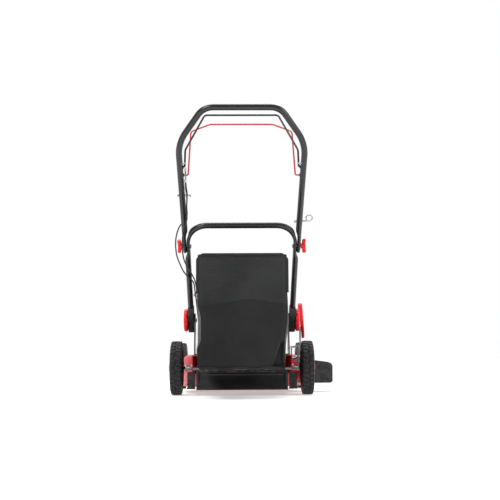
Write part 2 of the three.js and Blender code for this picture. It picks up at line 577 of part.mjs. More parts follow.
// A wing knob whose bolt clamps the two flattened tubes together.
function wingKnob(side) {
  const start = 219.4;
  const hub = turned("z", disc(11, start, start + 16, 2), [0, 0, 0], 16);
  const wing = (a) => {
    const shape = new THREE.Shape();
    shape.moveTo(0, start + 2);
    shape.quadraticCurveTo(24, start + 2, 30, start + 12);
    shape.quadraticCurveTo(30, start + 22, 20, start + 20);
    shape.lineTo(0, start + 14);
    const g = new THREE.ExtrudeGeometry(shape, { depth: 8, bevelEnabled: false, curveSegments: 4 });
    return g.rotateX(Math.PI / 2).translate(0, 4, 0).rotateZ(a);
  };
  const bolt = rod("z", 3.6, start - 187, [0, 0, 188], 8);
  const head = turned("z", disc(9, 185.6, 190, 1.5), [0, 0, 0], 12);
  const tilt = side > 0 ? 0 : 0.6;
  return join(hub, wing(tilt + Math.PI / 2), wing(tilt - Math.PI / 2), bolt, head)
    .rotateY((side * Math.PI) / 2);
}

for (const [name, side] of SIDES) {
  piece(`bracket_${name}`, bracket(side), MAT.blackPaint);
  piece(`handle_foot_${name}`, handleFoot(side), MAT.plastic, handle);
  piece(`disc_knob_${name}`, discKnob(side), MAT.redPlastic).position
    .set(0, HANDLE.y, HANDLE.z);
  piece(`wing_knob_${name}`, wingKnob(side), MAT.redPlastic, handle).position
    .set(0, UPPER.joint, 0);
}

// Rope guide: an open eye of wire on a threaded stem through the right tube.
function ropeGuide() {
  const { s, eye, wire } = GUIDE;
  const points = [[192, s, 0], [243, s, 0]];
  for (let i = 0; i <= 10; i++) {
    const a = -Math.PI / 2 + (i / 10) * 1.78 * Math.PI;
    points.push([246 + eye * Math.cos(a), s + eye + eye * Math.sin(a), -i * 0.5]);
  }
  const stem = across(3.2, s, 191, 234, 0, 8);
  const nut = rod("x", 6, 6, [192.5, s, 0], 6);
  return join(cable(points.slice(1), wire, 18), cable([points[0], points[1], points[2]], wire, 4),
    stem, nut);
}
piece("lower_handle", lowerHandle(), MAT.blackPaint, handle);
piece("upper_handle", upperHandle(), MAT.blackPaint, handle);
piece("rope_guide", ropeGuide(), MAT.steel, handle);

// ---------------------------------------------------------------- bails, clip and cables
function brakeBailRod() {
  const { half, straight, diagX, top, rod: r } = BRAKE_BAIL;
  const side = (x) => [[x * (half + 22), 0, 0], [x * half, 0, 0], [x * half, straight, 0],
    [x * diagX, top, 0]];
  return bentTube([...side(-1), ...side(1).reverse()], [7, 30, 14, 14, 30, 7], r, 8, 4);
}
function driveBailRod() {
  const { half, straight, top, rod: r } = DRIVE_BAIL;
  const side = (x) => [[x * (half + 31), 0, 0], [x * half, 0, 0], [x * (half - 3), straight + 18, 0],
    [x * 115, top, 0]];
  return bentTube([...side(-1), ...side(1).reverse()], [6, 22, 30, 30, 22, 6], r, 8, 4);
}
piece("brake_bail", brakeBailRod(), MAT.blackPaint, brakeBail);
piece("drive_bail", driveBailRod(), MAT.red, driveBail);
piece("cable_clip", join(across(3, CLIP.s, -231, -182, 0, 8), across(6, CLIP.s, -231, -226.4, 0, 6),
  across(5, CLIP.s, -186, -181, 0, 6), box(-200.6, CLIP.s - 7, -3, -198.6, CLIP.s + 7, 3)),
  MAT.steel, handle);

// A point beside the handle: x, distance up the handle, and height above it on the engine's side.
const H = (x, s, off) => [x, ...[alongHandle(s)].flatMap(([y, z]) =>
  [y + off * Math.sin(deg(HANDLE.slope)), z + off * Math.cos(deg(HANDLE.slope))])];
const CABLE_R = 2.5;
const BRAKE_UPPER = [H(-199, 652, 14), H(-199, 600, 10), H(-196, 560, 8), H(-199, 510, 8),
  H(-199, 475, 11), H(-205, 452, 17), H(-219, 434, 19), H(-233, 412, 15), H(-243, 380, 6),
  H(-246, 345, 0)];
const BRAKE_LOWER = [H(-246, 344, 0), H(-243, 310, -6), H(-233, 275, -10), H(-218, 240, -16),
  H(-200, 215, -17), H(-184, 190, -12), H(-180, 150, -8), H(-177, 100, 0), [-172, 84, 300],
  [-168, 96, 250], [-160, 110, 200], [-152, 124, 172], [-142, 150, 172]];
const DRIVE_UPPER = [H(-199, 622, -12), H(-199, 590, -9), H(-196, 560, -8), H(-199, 510, -8),
  H(-199, 470, -11), H(-206, 445, -18), H(-214, 415, -26), H(-218, 380, -36), H(-218, 345, -40)];
const DRIVE_LOWER = [H(-218, 344, -40), H(-214, 310, -38), H(-204, 270, -26), H(-190, 235, -19),
  H(-178, 200, -16), H(-172, 150, -14), H(-170, 100, -10), [-164, 60, 290], [-160, 30, 240],
  [-158, 4, 200], [-158, -16, 165], [-154, -24, 130]];
piece("brake_cable_upper", cable(BRAKE_UPPER, CABLE_R, 26), MAT.rubber);
piece("brake_cable_lower", cable(BRAKE_LOWER, CABLE_R, 34), MAT.rubber);
piece("drive_cable_upper", cable(DRIVE_UPPER, CABLE_R, 24), MAT.rubber);
piece("drive_cable_lower", cable(DRIVE_LOWER, CABLE_R, 32), MAT.rubber);

// ---------------------------------------------------------------- grass bag
const BAG_SLOPE = (BAG.top - BAG.mouthTop) / (BAG.mouth - BAG.back);
function bagFabric() {
  const { half, back, mouth, bottom, top, mouthTop } = BAG;
  const wall = 3;
  const side = (out) => [[mouth + (out ? 5 : 0), 130 + out], [mouth - 44, bottom + 6 + out],
    [back + 30, bottom + out], [back + out, bottom + 12 + out], [back + out, top - 4 - 1.3 * out],
    [back + 5 + out, top - 4 - 1.3 * out],
    [mouth + (out ? 5 : 0), mouthTop - 1.3 * out - (out ? 5 * BAG_SLOPE : 0)]];
  return cut(plateX(side(0), -half, half), plateX(side(wall), -half + wall, half - wall));
}
function bagFrame() {
  const front = BAG.mouth + 5;
  const topZ = 221;
  const back = -372;
  const rearZ = topZ + (front - back) * BAG_SLOPE;
  const hoop = bentTube([[-140, front, topZ], [-140, front, 160], [140, front, 160],
    [140, front, topZ]], 16, 3.5, 6, 3);
  const rails = bentTube([[-140, front, topZ], [-140, back, rearZ], [140, back, rearZ],
    [140, front, topZ]], 24, 3.5, 6, 3);
  const pinY = BAG.mouth + 20;
  const hooks = SIDES.map(([, side]) => plateX([[front - 3, topZ - 6], [front + 4, topZ - 6],
    [front + 4, 256], [pinY + 4, 256], [pinY + 4, 252], [pinY + 8, 252], [pinY + 8, 262],
    [front - 3, 262]], side > 0 ? 143 : -148, side > 0 ? 148 : -143));
  const lugs = SIDES.map(([, side]) => box(side > 0 ? 138 : -148, front - 3, topZ - 6,
    side > 0 ? 148 : -138, front + 4, topZ));
  return join(hoop, rails, rod("x", 3.5, 280, [-140, front, topZ], 8), ...lugs, ...hooks);
}
piece("bag_fabric", bagFabric(), MAT.fabric);
piece("bag_frame", bagFrame(), MAT.steel);

export default mower;
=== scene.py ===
"""Looks for the walk-behind rotary mower: smooth tubes, treaded tyres, a sewn grass bag and
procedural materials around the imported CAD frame. Metres, +Z up, +Y forwards."""
import json
import math

import bmesh
import bpy
from mathutils import Matrix, Vector, noise

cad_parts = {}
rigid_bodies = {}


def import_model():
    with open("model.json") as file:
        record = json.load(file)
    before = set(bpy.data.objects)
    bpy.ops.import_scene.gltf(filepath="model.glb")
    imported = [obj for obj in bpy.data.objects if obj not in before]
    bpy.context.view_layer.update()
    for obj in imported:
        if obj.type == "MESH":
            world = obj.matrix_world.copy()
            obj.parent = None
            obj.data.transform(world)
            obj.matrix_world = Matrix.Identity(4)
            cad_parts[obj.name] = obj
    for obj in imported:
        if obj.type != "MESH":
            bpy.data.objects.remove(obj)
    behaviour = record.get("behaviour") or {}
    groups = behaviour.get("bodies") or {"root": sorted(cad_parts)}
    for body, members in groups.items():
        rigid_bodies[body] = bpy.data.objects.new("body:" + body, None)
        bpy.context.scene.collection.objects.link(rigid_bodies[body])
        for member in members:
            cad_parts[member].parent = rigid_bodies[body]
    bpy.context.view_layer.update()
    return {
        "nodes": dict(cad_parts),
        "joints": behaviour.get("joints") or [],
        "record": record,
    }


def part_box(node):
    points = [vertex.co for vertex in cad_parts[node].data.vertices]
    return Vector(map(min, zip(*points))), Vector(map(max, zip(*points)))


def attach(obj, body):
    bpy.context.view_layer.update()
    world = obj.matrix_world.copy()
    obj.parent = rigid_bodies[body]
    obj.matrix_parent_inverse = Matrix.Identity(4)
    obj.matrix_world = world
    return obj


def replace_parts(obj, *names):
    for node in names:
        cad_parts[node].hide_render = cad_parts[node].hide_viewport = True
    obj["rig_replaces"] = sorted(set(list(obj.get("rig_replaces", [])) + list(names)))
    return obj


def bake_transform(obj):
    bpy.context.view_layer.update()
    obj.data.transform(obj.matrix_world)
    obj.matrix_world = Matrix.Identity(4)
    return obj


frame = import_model()
BODY_OF = {n: b for b, ns in frame["record"]["behaviour"]["bodies"].items() for n in ns}
SLOT_OF = {s["node"]: s["material_slot"] for s in frame["record"]["subparts"]}
JOINT = {j["name"]: j for j in frame["joints"]}


def pivot(joint):
    return Vector(JOINT[joint]["pos_m"])


REAR_AXLE = pivot("rear_wheel_left_spin")
FRONT_AXLE = pivot("front_wheel_left_spin")
CENTRE_X = REAR_AXLE.x  # the mower's centre plane
WHEEL_R = REAR_AXLE.z
FOLD = pivot("lower_handle_fold")
UPPER_FOLD = pivot("upper_handle_fold")
UP_HANDLE = (UPPER_FOLD - FOLD).normalized()  # direction along the handle, from its foot
OUT_HANDLE = Vector((1, 0, 0)).cross(UP_HANDLE) * -1  # the engine's side of the handle


def place(x, y, z):
    """A point x right of the centre plane, y ahead of the rear axle and z above the ground."""
    return Vector((CENTRE_X + x, REAR_AXLE.y + y, z))


def beside(x, s, off=0.0):
    """A point x across, s up along the handle from its foot and off above its plane."""
    p = FOLD + UP_HANDLE * s + OUT_HANDLE * off
    return Vector((CENTRE_X + x, p.y, p.z))


# ---------------------------------------------------------------- camera, floor, light
CAMERA_BACK = 3.2  # behind the rear axle
CAMERA_UP = 0.16
CAMERA_LEFT = 0.0166
CAMERA_PITCH = math.radians(7.0)
CAMERA_YAW = math.radians(0.88)
CAMERA_ROLL = math.radians(0.3)
FOCAL_PIXELS = 832
FRAME_PIXELS = 500
SENSOR = 36.0
WING_TURN = {-1: math.radians(38), 1: 0.0}  # how each bar knob was left
GRIP_LOW, GRIP_HIGH = 0.215, 0.357
SKIRT_HALF = 0.171
SCALLOP = 0.0026  # depth of the disc knobs' finger grips
DIM_WALL = 0.3  # brightness of the room behind the operator


def studio_walls(tree):
    """A white backdrop in front of the mower and a dim room behind its operator."""
    coords = tree.nodes.new("ShaderNodeTexCoord").outputs["Generated"]
    split = tree.nodes.new("ShaderNodeSeparateXYZ")
    tree.links.new(coords, split.inputs[0])
    ramp = tree.nodes.new("ShaderNodeMapRange")
    for socket, value in (("From Min", -0.35), ("From Max", 0.35),
                          ("To Min", DIM_WALL), ("To Max", 1.0)):
        ramp.inputs[socket].default_value = value
    tree.links.new(split.outputs["Y"], ramp.inputs["Value"])
    tree.links.new(ramp.outputs[0], tree.nodes["Background"].inputs["Color"])


def stage():
    scene = bpy.context.scene
    cam = bpy.data.objects.new("camera", bpy.data.cameras.new("camera"))
    scene.collection.objects.link(cam)
    cam.data.sensor_width = SENSOR
    cam.data.lens = FOCAL_PIXELS / FRAME_PIXELS * SENSOR
    cam.data.clip_end = 100
    turn = (Matrix.Rotation(-CAMERA_YAW, 4, "Z")
            @ Matrix.Rotation(math.pi / 2 + CAMERA_PITCH, 4, "X")
            @ Matrix.Rotation(-CAMERA_ROLL, 4, "Z"))
    cam.matrix_world = Matrix.Translation(place(-CAMERA_LEFT, -CAMERA_BACK, CAMERA_UP)) @ turn
    scene.camera = cam

    bpy.ops.mesh.primitive_plane_add(size=60)
    floor = bpy.context.object
    floor.name = "floor"
    paper = simple("floor", (0.9, 0.9, 0.9), 0.9)
    paper.node_tree.nodes["Principled BSDF"].inputs["Emission Color"].default_value = (1, 1, 1, 1)
    paper.node_tree.nodes["Principled BSDF"].inputs["Emission Strength"].default_value = 0.42
    floor.data.materials.append(paper)

    world = bpy.data.worlds.new("studio")
    scene.world = world
    world.use_nodes = True
    studio_walls(world.node_tree)
    for name, where, size, watts in (("key", (-1.6, -2.6, 2.6), 1.4, 70),
                                     ("fill", (2.4, -1.6, 1.6), 1.6, 34),
                                     ("top", (0.0, 0.6, 3.2), 2.2, 60)):
        light = bpy.data.objects.new(name, bpy.data.lights.new(name, "AREA"))
        light.data.size = size
        light.data.energy = watts
        scene.collection.objects.link(light)
        light.location = where
        aim = Vector((0, 0, 0.45)) - light.location
        light.rotation_euler = aim.to_track_quat("-Z", "Y").to_euler()
    scene.view_settings.view_transform = "Standard"


# ---------------------------------------------------------------- materials
def simple(name, color, roughness, metallic=0.0):
    m = bpy.data.materials.new(name)
    m.use_nodes = True
    shader = m.node_tree.nodes["Principled BSDF"]
    shader.inputs["Base Color"].default_value = (*color, 1)
    shader.inputs["Roughness"].default_value = roughness
    shader.inputs["Metallic"].default_value = metallic
    shader.inputs["Specular IOR Level"].default_value = 0.34
    return m


class Nodes:
    """Short calls for building a node tree round one principled shader."""

    def __init__(self, name, color, roughness, metallic):
        self.material = simple(name, color, roughness, metallic)
        self.tree = self.material.node_tree
        self.shader = self.tree.nodes["Principled BSDF"]
        self.coords = self.tree.nodes.new("ShaderNodeTexCoord").outputs["Object"]

    def link(self, a, b):
        self.tree.links.new(a, b)

    def noise(self, scale, detail=4.0, coords=None, stretch=None):
        source = coords or self.coords
        if stretch:
            mapping = self.tree.nodes.new("ShaderNodeMapping")
            mapping.inputs["Scale"].default_value = stretch
            self.link(source, mapping.inputs["Vector"])
            source = mapping.outputs["Vector"]
        n = self.tree.nodes.new("ShaderNodeTexNoise")
        n.inputs["Scale"].default_value = scale
        n.inputs["Detail"].default_value = detail
        self.link(source, n.inputs["Vector"])
        return n.outputs["Fac"]

    def ramp(self, value, low, high, low_out=(0, 0, 0), high_out=(1, 1, 1)):
        r = self.tree.nodes.new("ShaderNodeValToRGB")
        r.color_ramp.elements[0].position = low
        r.color_ramp.elements[1].position = high
        r.color_ramp.elements[0].color = (*low_out, 1)
        r.color_ramp.elements[1].color = (*high_out, 1)
        self.link(value, r.inputs["Fac"])
        return r.outputs["Color"]

    def math(self, operation, a, b):
        n = self.tree.nodes.new("ShaderNodeMath")
        n.operation = operation
        for socket, value in zip(n.inputs, (a, b)):
            if isinstance(value, (int, float)):
                socket.default_value = value
            else:
                self.link(value, socket)
        return n.outputs["Value"]

    def mix(self, factor, a, b):
        n = self.tree.nodes.new("ShaderNodeMix")
        n.data_type = "RGBA"
        for socket, value in ((n.inputs["Factor"], factor), (n.inputs[6], a), (n.inputs[7], b)):
            if isinstance(value, tuple):
                socket.default_value = (*value, 1)
            elif isinstance(value, float):
                socket.default_value = value
            else:
                self.link(value, socket)
        return n.outputs[2]

    def bump(self, height, strength, distance, under=None):
        n = self.tree.nodes.new("ShaderNodeBump")
        n.inputs["Strength"].default_value = strength
        n.inputs["Distance"].default_value = distance
        self.link(height, n.inputs["Height"])
        if under:
            self.link(under, n.inputs["Normal"])
        return n.outputs["Normal"]

    def edges(self, low=0.52, high=0.6):
        """White on worn edges, from the surface's pointiness."""
        g = self.tree.nodes.new("ShaderNodeNewGeometry")
        return self.ramp(g.outputs["Pointiness"], low, high)

    def finish(self, color=None, roughness=None, normal=None):
        for name, value in (("Base Color", color), ("Roughness", roughness), ("Normal", normal)):
            if value is not None:
                self.link(value, self.shader.inputs[name])
        return self.material


def surfaced(name, color, roughness, metallic=0.0, grain=900.0, grain_depth=0.00015,
             blotch=0.25, wear=None, spread=0.12, coat=0.0):
    """A finish with mottled colour, uneven gloss, a fine grain and worn edges."""
    n = Nodes(name, color, roughness, metallic)
    n.shader.inputs["Coat Weight"].default_value = coat
    broad = n.noise(9.0, 5.0)
    dark = tuple(c * (1 - blotch) for c in color)
    light = tuple(min(1, c * (1 + blotch) + 0.002) for c in color)
    tint = n.ramp(broad, 0.3, 0.7, dark, light)
    if wear:
        scuffs = n.math("MULTIPLY", n.edges(), n.ramp(n.noise(60.0), 0.42, 0.62))
        tint = n.mix(scuffs, tint, wear)
    gloss = n.math("ADD", n.math("MULTIPLY", n.noise(35.0, 6.0), spread * 2), roughness - spread)
    fine = n.noise(grain, 2.0)
    return n.finish(tint, gloss, n.bump(fine, 0.5, grain_depth))


def fabric(name, color, pitch, depth):
    """Woven cloth: warp and weft threads along the sheet's own UV, in metres."""
    n = Nodes(name, color, 0.85, 0.0)
    n.shader.inputs["Sheen Weight"].default_value = 0.12
    n.shader.inputs["Sheen Roughness"].default_value = 0.45
    uv = n.tree.nodes.new("ShaderNodeUVMap")
    uv.uv_map = "UVMap"
    split = n.tree.nodes.new("ShaderNodeSeparateXYZ")
    n.link(uv.outputs["UV"], split.inputs["Vector"])
    waves = []
    for axis in "XY":
        turn = n.math("MULTIPLY", split.outputs[axis], 2 * math.pi / pitch)
        waves.append(n.math("SINE", turn, 0.0))
    checks = n.math("MULTIPLY", waves[0], waves[1])
    rib = n.math("MAXIMUM", waves[0], waves[1])
    weave = n.math("ADD", n.math("MULTIPLY", checks, 0.5), n.math("MULTIPLY", rib, 0.5))
    dusty = n.noise(7.0, 6.0)
    dark = tuple(c * 0.62 for c in color)
    light = tuple(c * 1.5 for c in color)
    thread = n.ramp(weave, 0.1, 0.9, dark, light)
    tint = n.mix(n.ramp(dusty, 0.35, 0.75), thread, tuple(c * 1.7 + 0.004 for c in color))
    crumple = n.bump(n.noise(55.0, 5.0), 0.35, 0.002)
    normal = n.bump(weave, 0.8, depth, crumple)
    return n.finish(tint, None, normal)


def brushed(name, color, roughness, along=(1, 40, 40)):
    n = Nodes(name, color, roughness, 1.0)
    streak = n.noise(60.0, 4.0, stretch=along)
    gloss = n.math("ADD", n.math("MULTIPLY", streak, 0.25), roughness - 0.1)
    tint = n.ramp(n.noise(14.0), 0.3, 0.75, tuple(c * 0.75 for c in color), color)
    return n.finish(tint, gloss, n.bump(streak, 0.3, 0.0001))


MAT = {
    "deck_red": surfaced("deck_red", (0.50, 0.005, 0.014), 0.38, 0.0, 500, 0.0001, 0.1,
                         (0.25, 0.03, 0.03), 0.08, 0.12),
    "red_plastic": surfaced("red_plastic", (0.70, 0.010, 0.018), 0.36, 0.0, 1400, 0.0002, 0.08),
    "red_paint": surfaced("red_paint", (0.42, 0.012, 0.014), 0.3, 0.0, 700, 0.0001, 0.1, None,
                          0.08, 0.5),
    "black_paint": surfaced("black_paint", (0.008, 0.008, 0.009), 0.3, 0.0, 1500, 0.00012, 0.2,
                            (0.07, 0.07, 0.075), 0.1, 0.25),
    "black_plastic": surfaced("black_plastic", (0.01, 0.01, 0.011), 0.5, 0.0, 1100, 0.0003, 0.25,
                              (0.06, 0.06, 0.062)),
    "engine_plastic": surfaced("engine_plastic", (0.012, 0.0125, 0.014), 0.42, 0.0, 1300, 0.00025,
                               0.2, (0.06, 0.06, 0.062)),
    "black_rubber": surfaced("black_rubber", (0.009, 0.009, 0.0095), 0.42, 0.0, 700, 0.0003, 0.3,
                             (0.05, 0.05, 0.05)),
    "cable_black": surfaced("cable_black", (0.008, 0.008, 0.0085), 0.35, 0.0, 900, 0.0001, 0.15),
    "tyre": surfaced("tyre", (0.014, 0.014, 0.0145), 0.62, 0.0, 420, 0.0005, 0.35,
                     (0.07, 0.068, 0.066)),
    "zinc_steel": brushed("zinc_steel", (0.40, 0.41, 0.43), 0.34),
    "blade_steel": brushed("blade_steel", (0.3, 0.3, 0.31), 0.42, (40, 1, 40)),
    "cast_alloy": surfaced("cast_alloy", (0.42, 0.43, 0.45), 0.5, 0.85, 260, 0.0006, 0.2,
                           (0.65, 0.65, 0.66)),
    "bag_fabric": fabric("bag_fabric", (0.0105, 0.0108, 0.0116), 0.0034, 0.0008),
}
# A darker, finer-woven copy of the bag fabric: painted shade on the lower rear panel, the bag's floor
# and its low sides.
SHADED_BAG_FABRIC = fabric("bag_fabric_painted_shade", (0.0042, 0.0043, 0.0050), 0.0012, 0.0002)
BINDING = fabric("bag_binding", (0.006, 0.006, 0.0066), 0.0016, 0.0004)
stage()

# ---------------------------------------------------------------- mesh helpers
def smoothstep(low, high, x):
    t = min(1.0, max(0.0, (x - low) / (high - low)))
    return t * t * (3 - 2 * t)


def finish_piece(obj, body, replaced=()):
    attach(obj, body)
    if replaced:
        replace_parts(obj, *replaced)
    return obj


def new_mesh(name, verts, faces, material, sharp=35.0):
    mesh = bpy.data.meshes.new(name)
    mesh.from_pydata([tuple(v) for v in verts], [], faces)
    mesh.validate()
    bm = bmesh.new()
    bm.from_mesh(mesh)
    bmesh.ops.recalc_face_normals(bm, faces=bm.faces)
    bm.to_mesh(mesh)
    bm.free()
    mesh.materials.append(material)
    obj = bpy.data.objects.new(name, mesh)
    bpy.context.scene.collection.objects.link(obj)
    shade(obj, sharp)
    return obj


def shade(obj, sharp=35.0):
    """Smooth shading, with an edge kept sharp where its faces meet at more than this angle."""
    mesh = obj.data
    for p in mesh.polygons:
        p.use_smooth = True
    mesh.set_sharp_from_angle(angle=math.radians(sharp))


def applied(obj):
    """Replaces obj's mesh with its mesh after modifiers."""
    graph = bpy.context.evaluated_depsgraph_get()
    mesh = bpy.data.meshes.new_from_object(obj.evaluated_get(graph))
    obj.modifiers.clear()
    obj.data = mesh
    return obj


def rounded(points, radii, per_bend=10):
    """Stations along straight runs and round bends: (point, tangent) pairs."""
    points = [Vector(p) for p in points]
    stops = [(points[0], (points[1] - points[0]).normalized())]
    for i in range(1, len(points) - 1):
        before = (points[i] - points[i - 1]).normalized()
        after = (points[i + 1] - points[i]).normalized()
        r = radii[i - 1] if hasattr(radii, "__len__") else radii
        angle = before.angle(after)
        if angle < 1e-3 or r <= 0:
            stops.append((points[i], (before + after).normalized()))
            continue
        inward = (after - before).normalized()
        centre = points[i] + inward * (r / math.cos(angle / 2))
        start = points[i] - before * r * math.tan(angle / 2) - centre
        spin = before.cross(after).normalized()
        for k in range(per_bend + 1):
            turn = Matrix.Rotation(angle * k / per_bend, 3, spin)
            stops.append((centre + turn @ start, turn @ before))
    stops.append((points[-1], (points[-1] - points[-2]).normalized()))
    return stops


def smooth_curve(points, per_span=8):
    """Stations on a Catmull-Rom curve through the points."""
    pts = [Vector(p) for p in points]
    pts = [pts[0] * 2 - pts[1]] + pts + [pts[-1] * 2 - pts[-2]]
    out = []
    for i in range(1, len(pts) - 2):
        a, b, c, d = pts[i - 1:i + 3]
        for k in range(per_span + (i == len(pts) - 3)):
            t = k / per_span
            out.append(0.5 * ((2 * b) + (c - a) * t + (2 * a - 5 * b + 4 * c - d) * t * t
                              + (3 * b - a - 3 * c + d) * t ** 3))
    tangents = [(out[min(i + 1, len(out) - 1)] - out[max(i - 1, 0)]).normalized()
                for i in range(len(out))]
    return list(zip(out, tangents))


def sweep(name, stops, radius, material, sides=24, section=None, round_ends=True, sharp=50.0):
    """A closed tube along stations. section(i, angle) may give its own (u, v) in metres."""
    verts, faces = [], []
    normal = stops[0][1].orthogonal().normalized()
    for i, (p, t) in enumerate(stops):
        normal = (normal - t * normal.dot(t)).normalized()
        side = t.cross(normal)
        for k in range(sides):
            a = 2 * math.pi * k / sides
            u, v = section(i, a) if section else (radius * math.cos(a), radius * math.sin(a))
            verts.append(p + normal * u + side * v)
    rings = len(stops)
    for i in range(rings - 1):
        for k in range(sides):
            a, b = i * sides + k, i * sides + (k + 1) % sides
            faces.append((a, b, b + sides, a + sides))
    for ring, out in ((0, -1), (rings - 1, 1)):
        base = ring * sides
        if round_ends:
            p, t = stops[ring]
            inner = len(verts)
            for k in range(sides):
                verts.append(p + (verts[base + k] - p) * 0.8 + t * out * radius * 0.2)
            for k in range(sides):
                faces.append((base + k, base + (k + 1) % sides, inner + (k + 1) % sides, inner + k))
            base = inner
        faces.append(tuple(base + k for k in range(sides)))
    return new_mesh(name, verts, faces, material, sharp)


def turned(name, profile, centre, axis, material, sides=96, sharp=35.0, ripple=None):
    """A lathe about axis through centre; profile is (radius, along) pairs from end to end."""
    axis, centre = Vector(axis).normalized(), Vector(centre)
    u = axis.orthogonal().normalized()
    v = axis.cross(u)
    verts, faces = [], []
    for r, h in profile:
        for k in range(sides):
            a = 2 * math.pi * k / sides
            rr = r + (ripple(r, h, a) if ripple else 0)
            verts.append(centre + axis * h + u * rr * math.cos(a) + v * rr * math.sin(a))
    n = len(profile)
    closed = (Vector(profile[0]) - Vector(profile[-1])).length < 1e-9
    for i in range(n - 1):
        j = (i + 1) % (n - 1) if closed else i + 1
        for k in range(sides):
            m = (k + 1) % sides
            faces.append((i * sides + k, i * sides + m, j * sides + m, j * sides + k))
    if not closed:
        faces.append(tuple(range(sides)))
        faces.append(tuple((n - 1) * sides + k for k in range(sides)))
    else:
        verts = verts[:(n - 1) * sides]
    return new_mesh(name, verts, faces, material, sharp)


def block(name, low, high, material, bevel=0.002, segments=3):
    """A box with rounded edges."""
    (x0, y0, z0), (x1, y1, z1) = low, high
    verts = [(x, y, z) for x in (x0, x1) for y in (y0, y1) for z in (z0, z1)]
    faces = [(0, 1, 3, 2), (4, 6, 7, 5), (0, 4, 5, 1), (2, 3, 7, 6), (0, 2, 6, 4), (1, 5, 7, 3)]
    obj = new_mesh(name, verts, faces, material)
    mod = obj.modifiers.new("round", "BEVEL")
    mod.width, mod.segments = bevel, segments
    applied(obj)
    shade(obj, 40)
    return obj


def joined(objs, name):
    """Joins pieces of one part into one object."""
    bm = bmesh.new()
    slots = []
    for o in objs:
        start = len(bm.faces)
        bm.from_mesh(o.data)
        bm.faces.ensure_lookup_table()
        index = {}
        for i, m in enumerate(o.data.materials):
            if m not in slots:
                slots.append(m)
            index[i] = slots.index(m)
        for f in bm.faces[start:]:
            f.material_index = index.get(f.material_index, 0)
    mesh = bpy.data.meshes.new(name)
    bm.to_mesh(mesh)
    bm.free()
    for m in slots:
        mesh.materials.append(m)
    for o in objs:
        bpy.data.objects.remove(o)
    obj = bpy.data.objects.new(name, mesh)
    bpy.context.scene.collection.objects.link(obj)
    return obj


def refine(node, bevel=0.0012, segments=2, material=None, sharp=35.0):
    """A CAD node with rounded edges and smooth curved faces, in its slot's material."""
    source = frame["nodes"][node]
    mesh = source.data.copy()
    mesh.materials.clear()
    mesh.materials.append(material or MAT[SLOT_OF[node]])
    obj = bpy.data.objects.new(node + "_finished", mesh)
    bpy.context.scene.collection.objects.link(obj)
    bm = bmesh.new()
    bm.from_mesh(mesh)
    bmesh.ops.remove_doubles(bm, verts=bm.verts, dist=1e-5)
    bmesh.ops.dissolve_limit(bm, angle_limit=math.radians(1), verts=bm.verts, edges=bm.edges)
    bm.to_mesh(mesh)
    bm.free()
    if bevel:
        mod = obj.modifiers.new("edges", "BEVEL")
        mod.width, mod.segments = bevel, segments
        mod.limit_method = "ANGLE"
        mod.angle_limit = math.radians(40)
        mod.harden_normals = False
        applied(obj)
    shade(obj, sharp)
    return finish_piece(obj, BODY_OF[node], (node,))

# ---------------------------------------------------------------- handle tubes and bails
TUBE_R = 0.011
LOWER_FOOT_HALF, LOWER_TOP_HALF, CROSSBAR = 0.198, 0.203, 0.434
UPPER_START, UPPER_FOOT_HALF, UPPER_HALF = 0.322, 0.207, 0.2195
UPPER_BEND, UPPER_TOP, UPPER_TOP_HALF = 0.764, 0.897, 0.129
LAP_AT = (UPPER_FOLD - FOLD).length
STOP_PIN_OFF = -0.0056  # just past the squeezed bail
FLAT_BY = 0.0082  # how much a tube is pressed flat at the lap


def handle_tube(name, outline, radii, press, slot_name, body, node):
    """A tube in the handle's plane; press(s, x) is (how far it is flattened, which way it moves)."""
    stops = rounded([beside(x, s) for x, s in outline], radii, 14)
    dense = []
    for (p, t), (q, _) in zip(stops, stops[1:]):
        steps = max(1, int((q - p).length / 0.012))
        dense += [(p.lerp(q, k / steps), t) for k in range(steps)]
    dense.append(stops[-1])
    verts, faces, sides = [], [], 28
    for p, t in dense:
        outward = t.cross(OUT_HANDLE).normalized()
        along = (p - FOLD).dot(UP_HANDLE)
        flat, way = press(along)
        centre = p + outward * way * flat * 0.5
        for k in range(sides):
            a = 2 * math.pi * k / sides
            u = (TUBE_R - flat * 0.5) * math.cos(a)
            v = (TUBE_R + flat * 0.22) * math.sin(a)
            verts.append(centre + outward * u + OUT_HANDLE * v)
    for i in range(len(dense) - 1):
        for k in range(sides):
            a, b = i * sides + k, i * sides + (k + 1) % sides
            faces.append((a, b, b + sides, a + sides))
    faces.append(tuple(range(sides)))
    faces.append(tuple((len(dense) - 1) * sides + k for k in range(sides)))
    obj = new_mesh(name, verts, faces, MAT[slot_name], 50)
    return finish_piece(obj, body, (node,))


def lap_press(way, low, high):
    return lambda s: (FLAT_BY * smoothstep(low - 0.03, low, s) * (1 - smoothstep(high, high + 0.03, s)),
                      way)


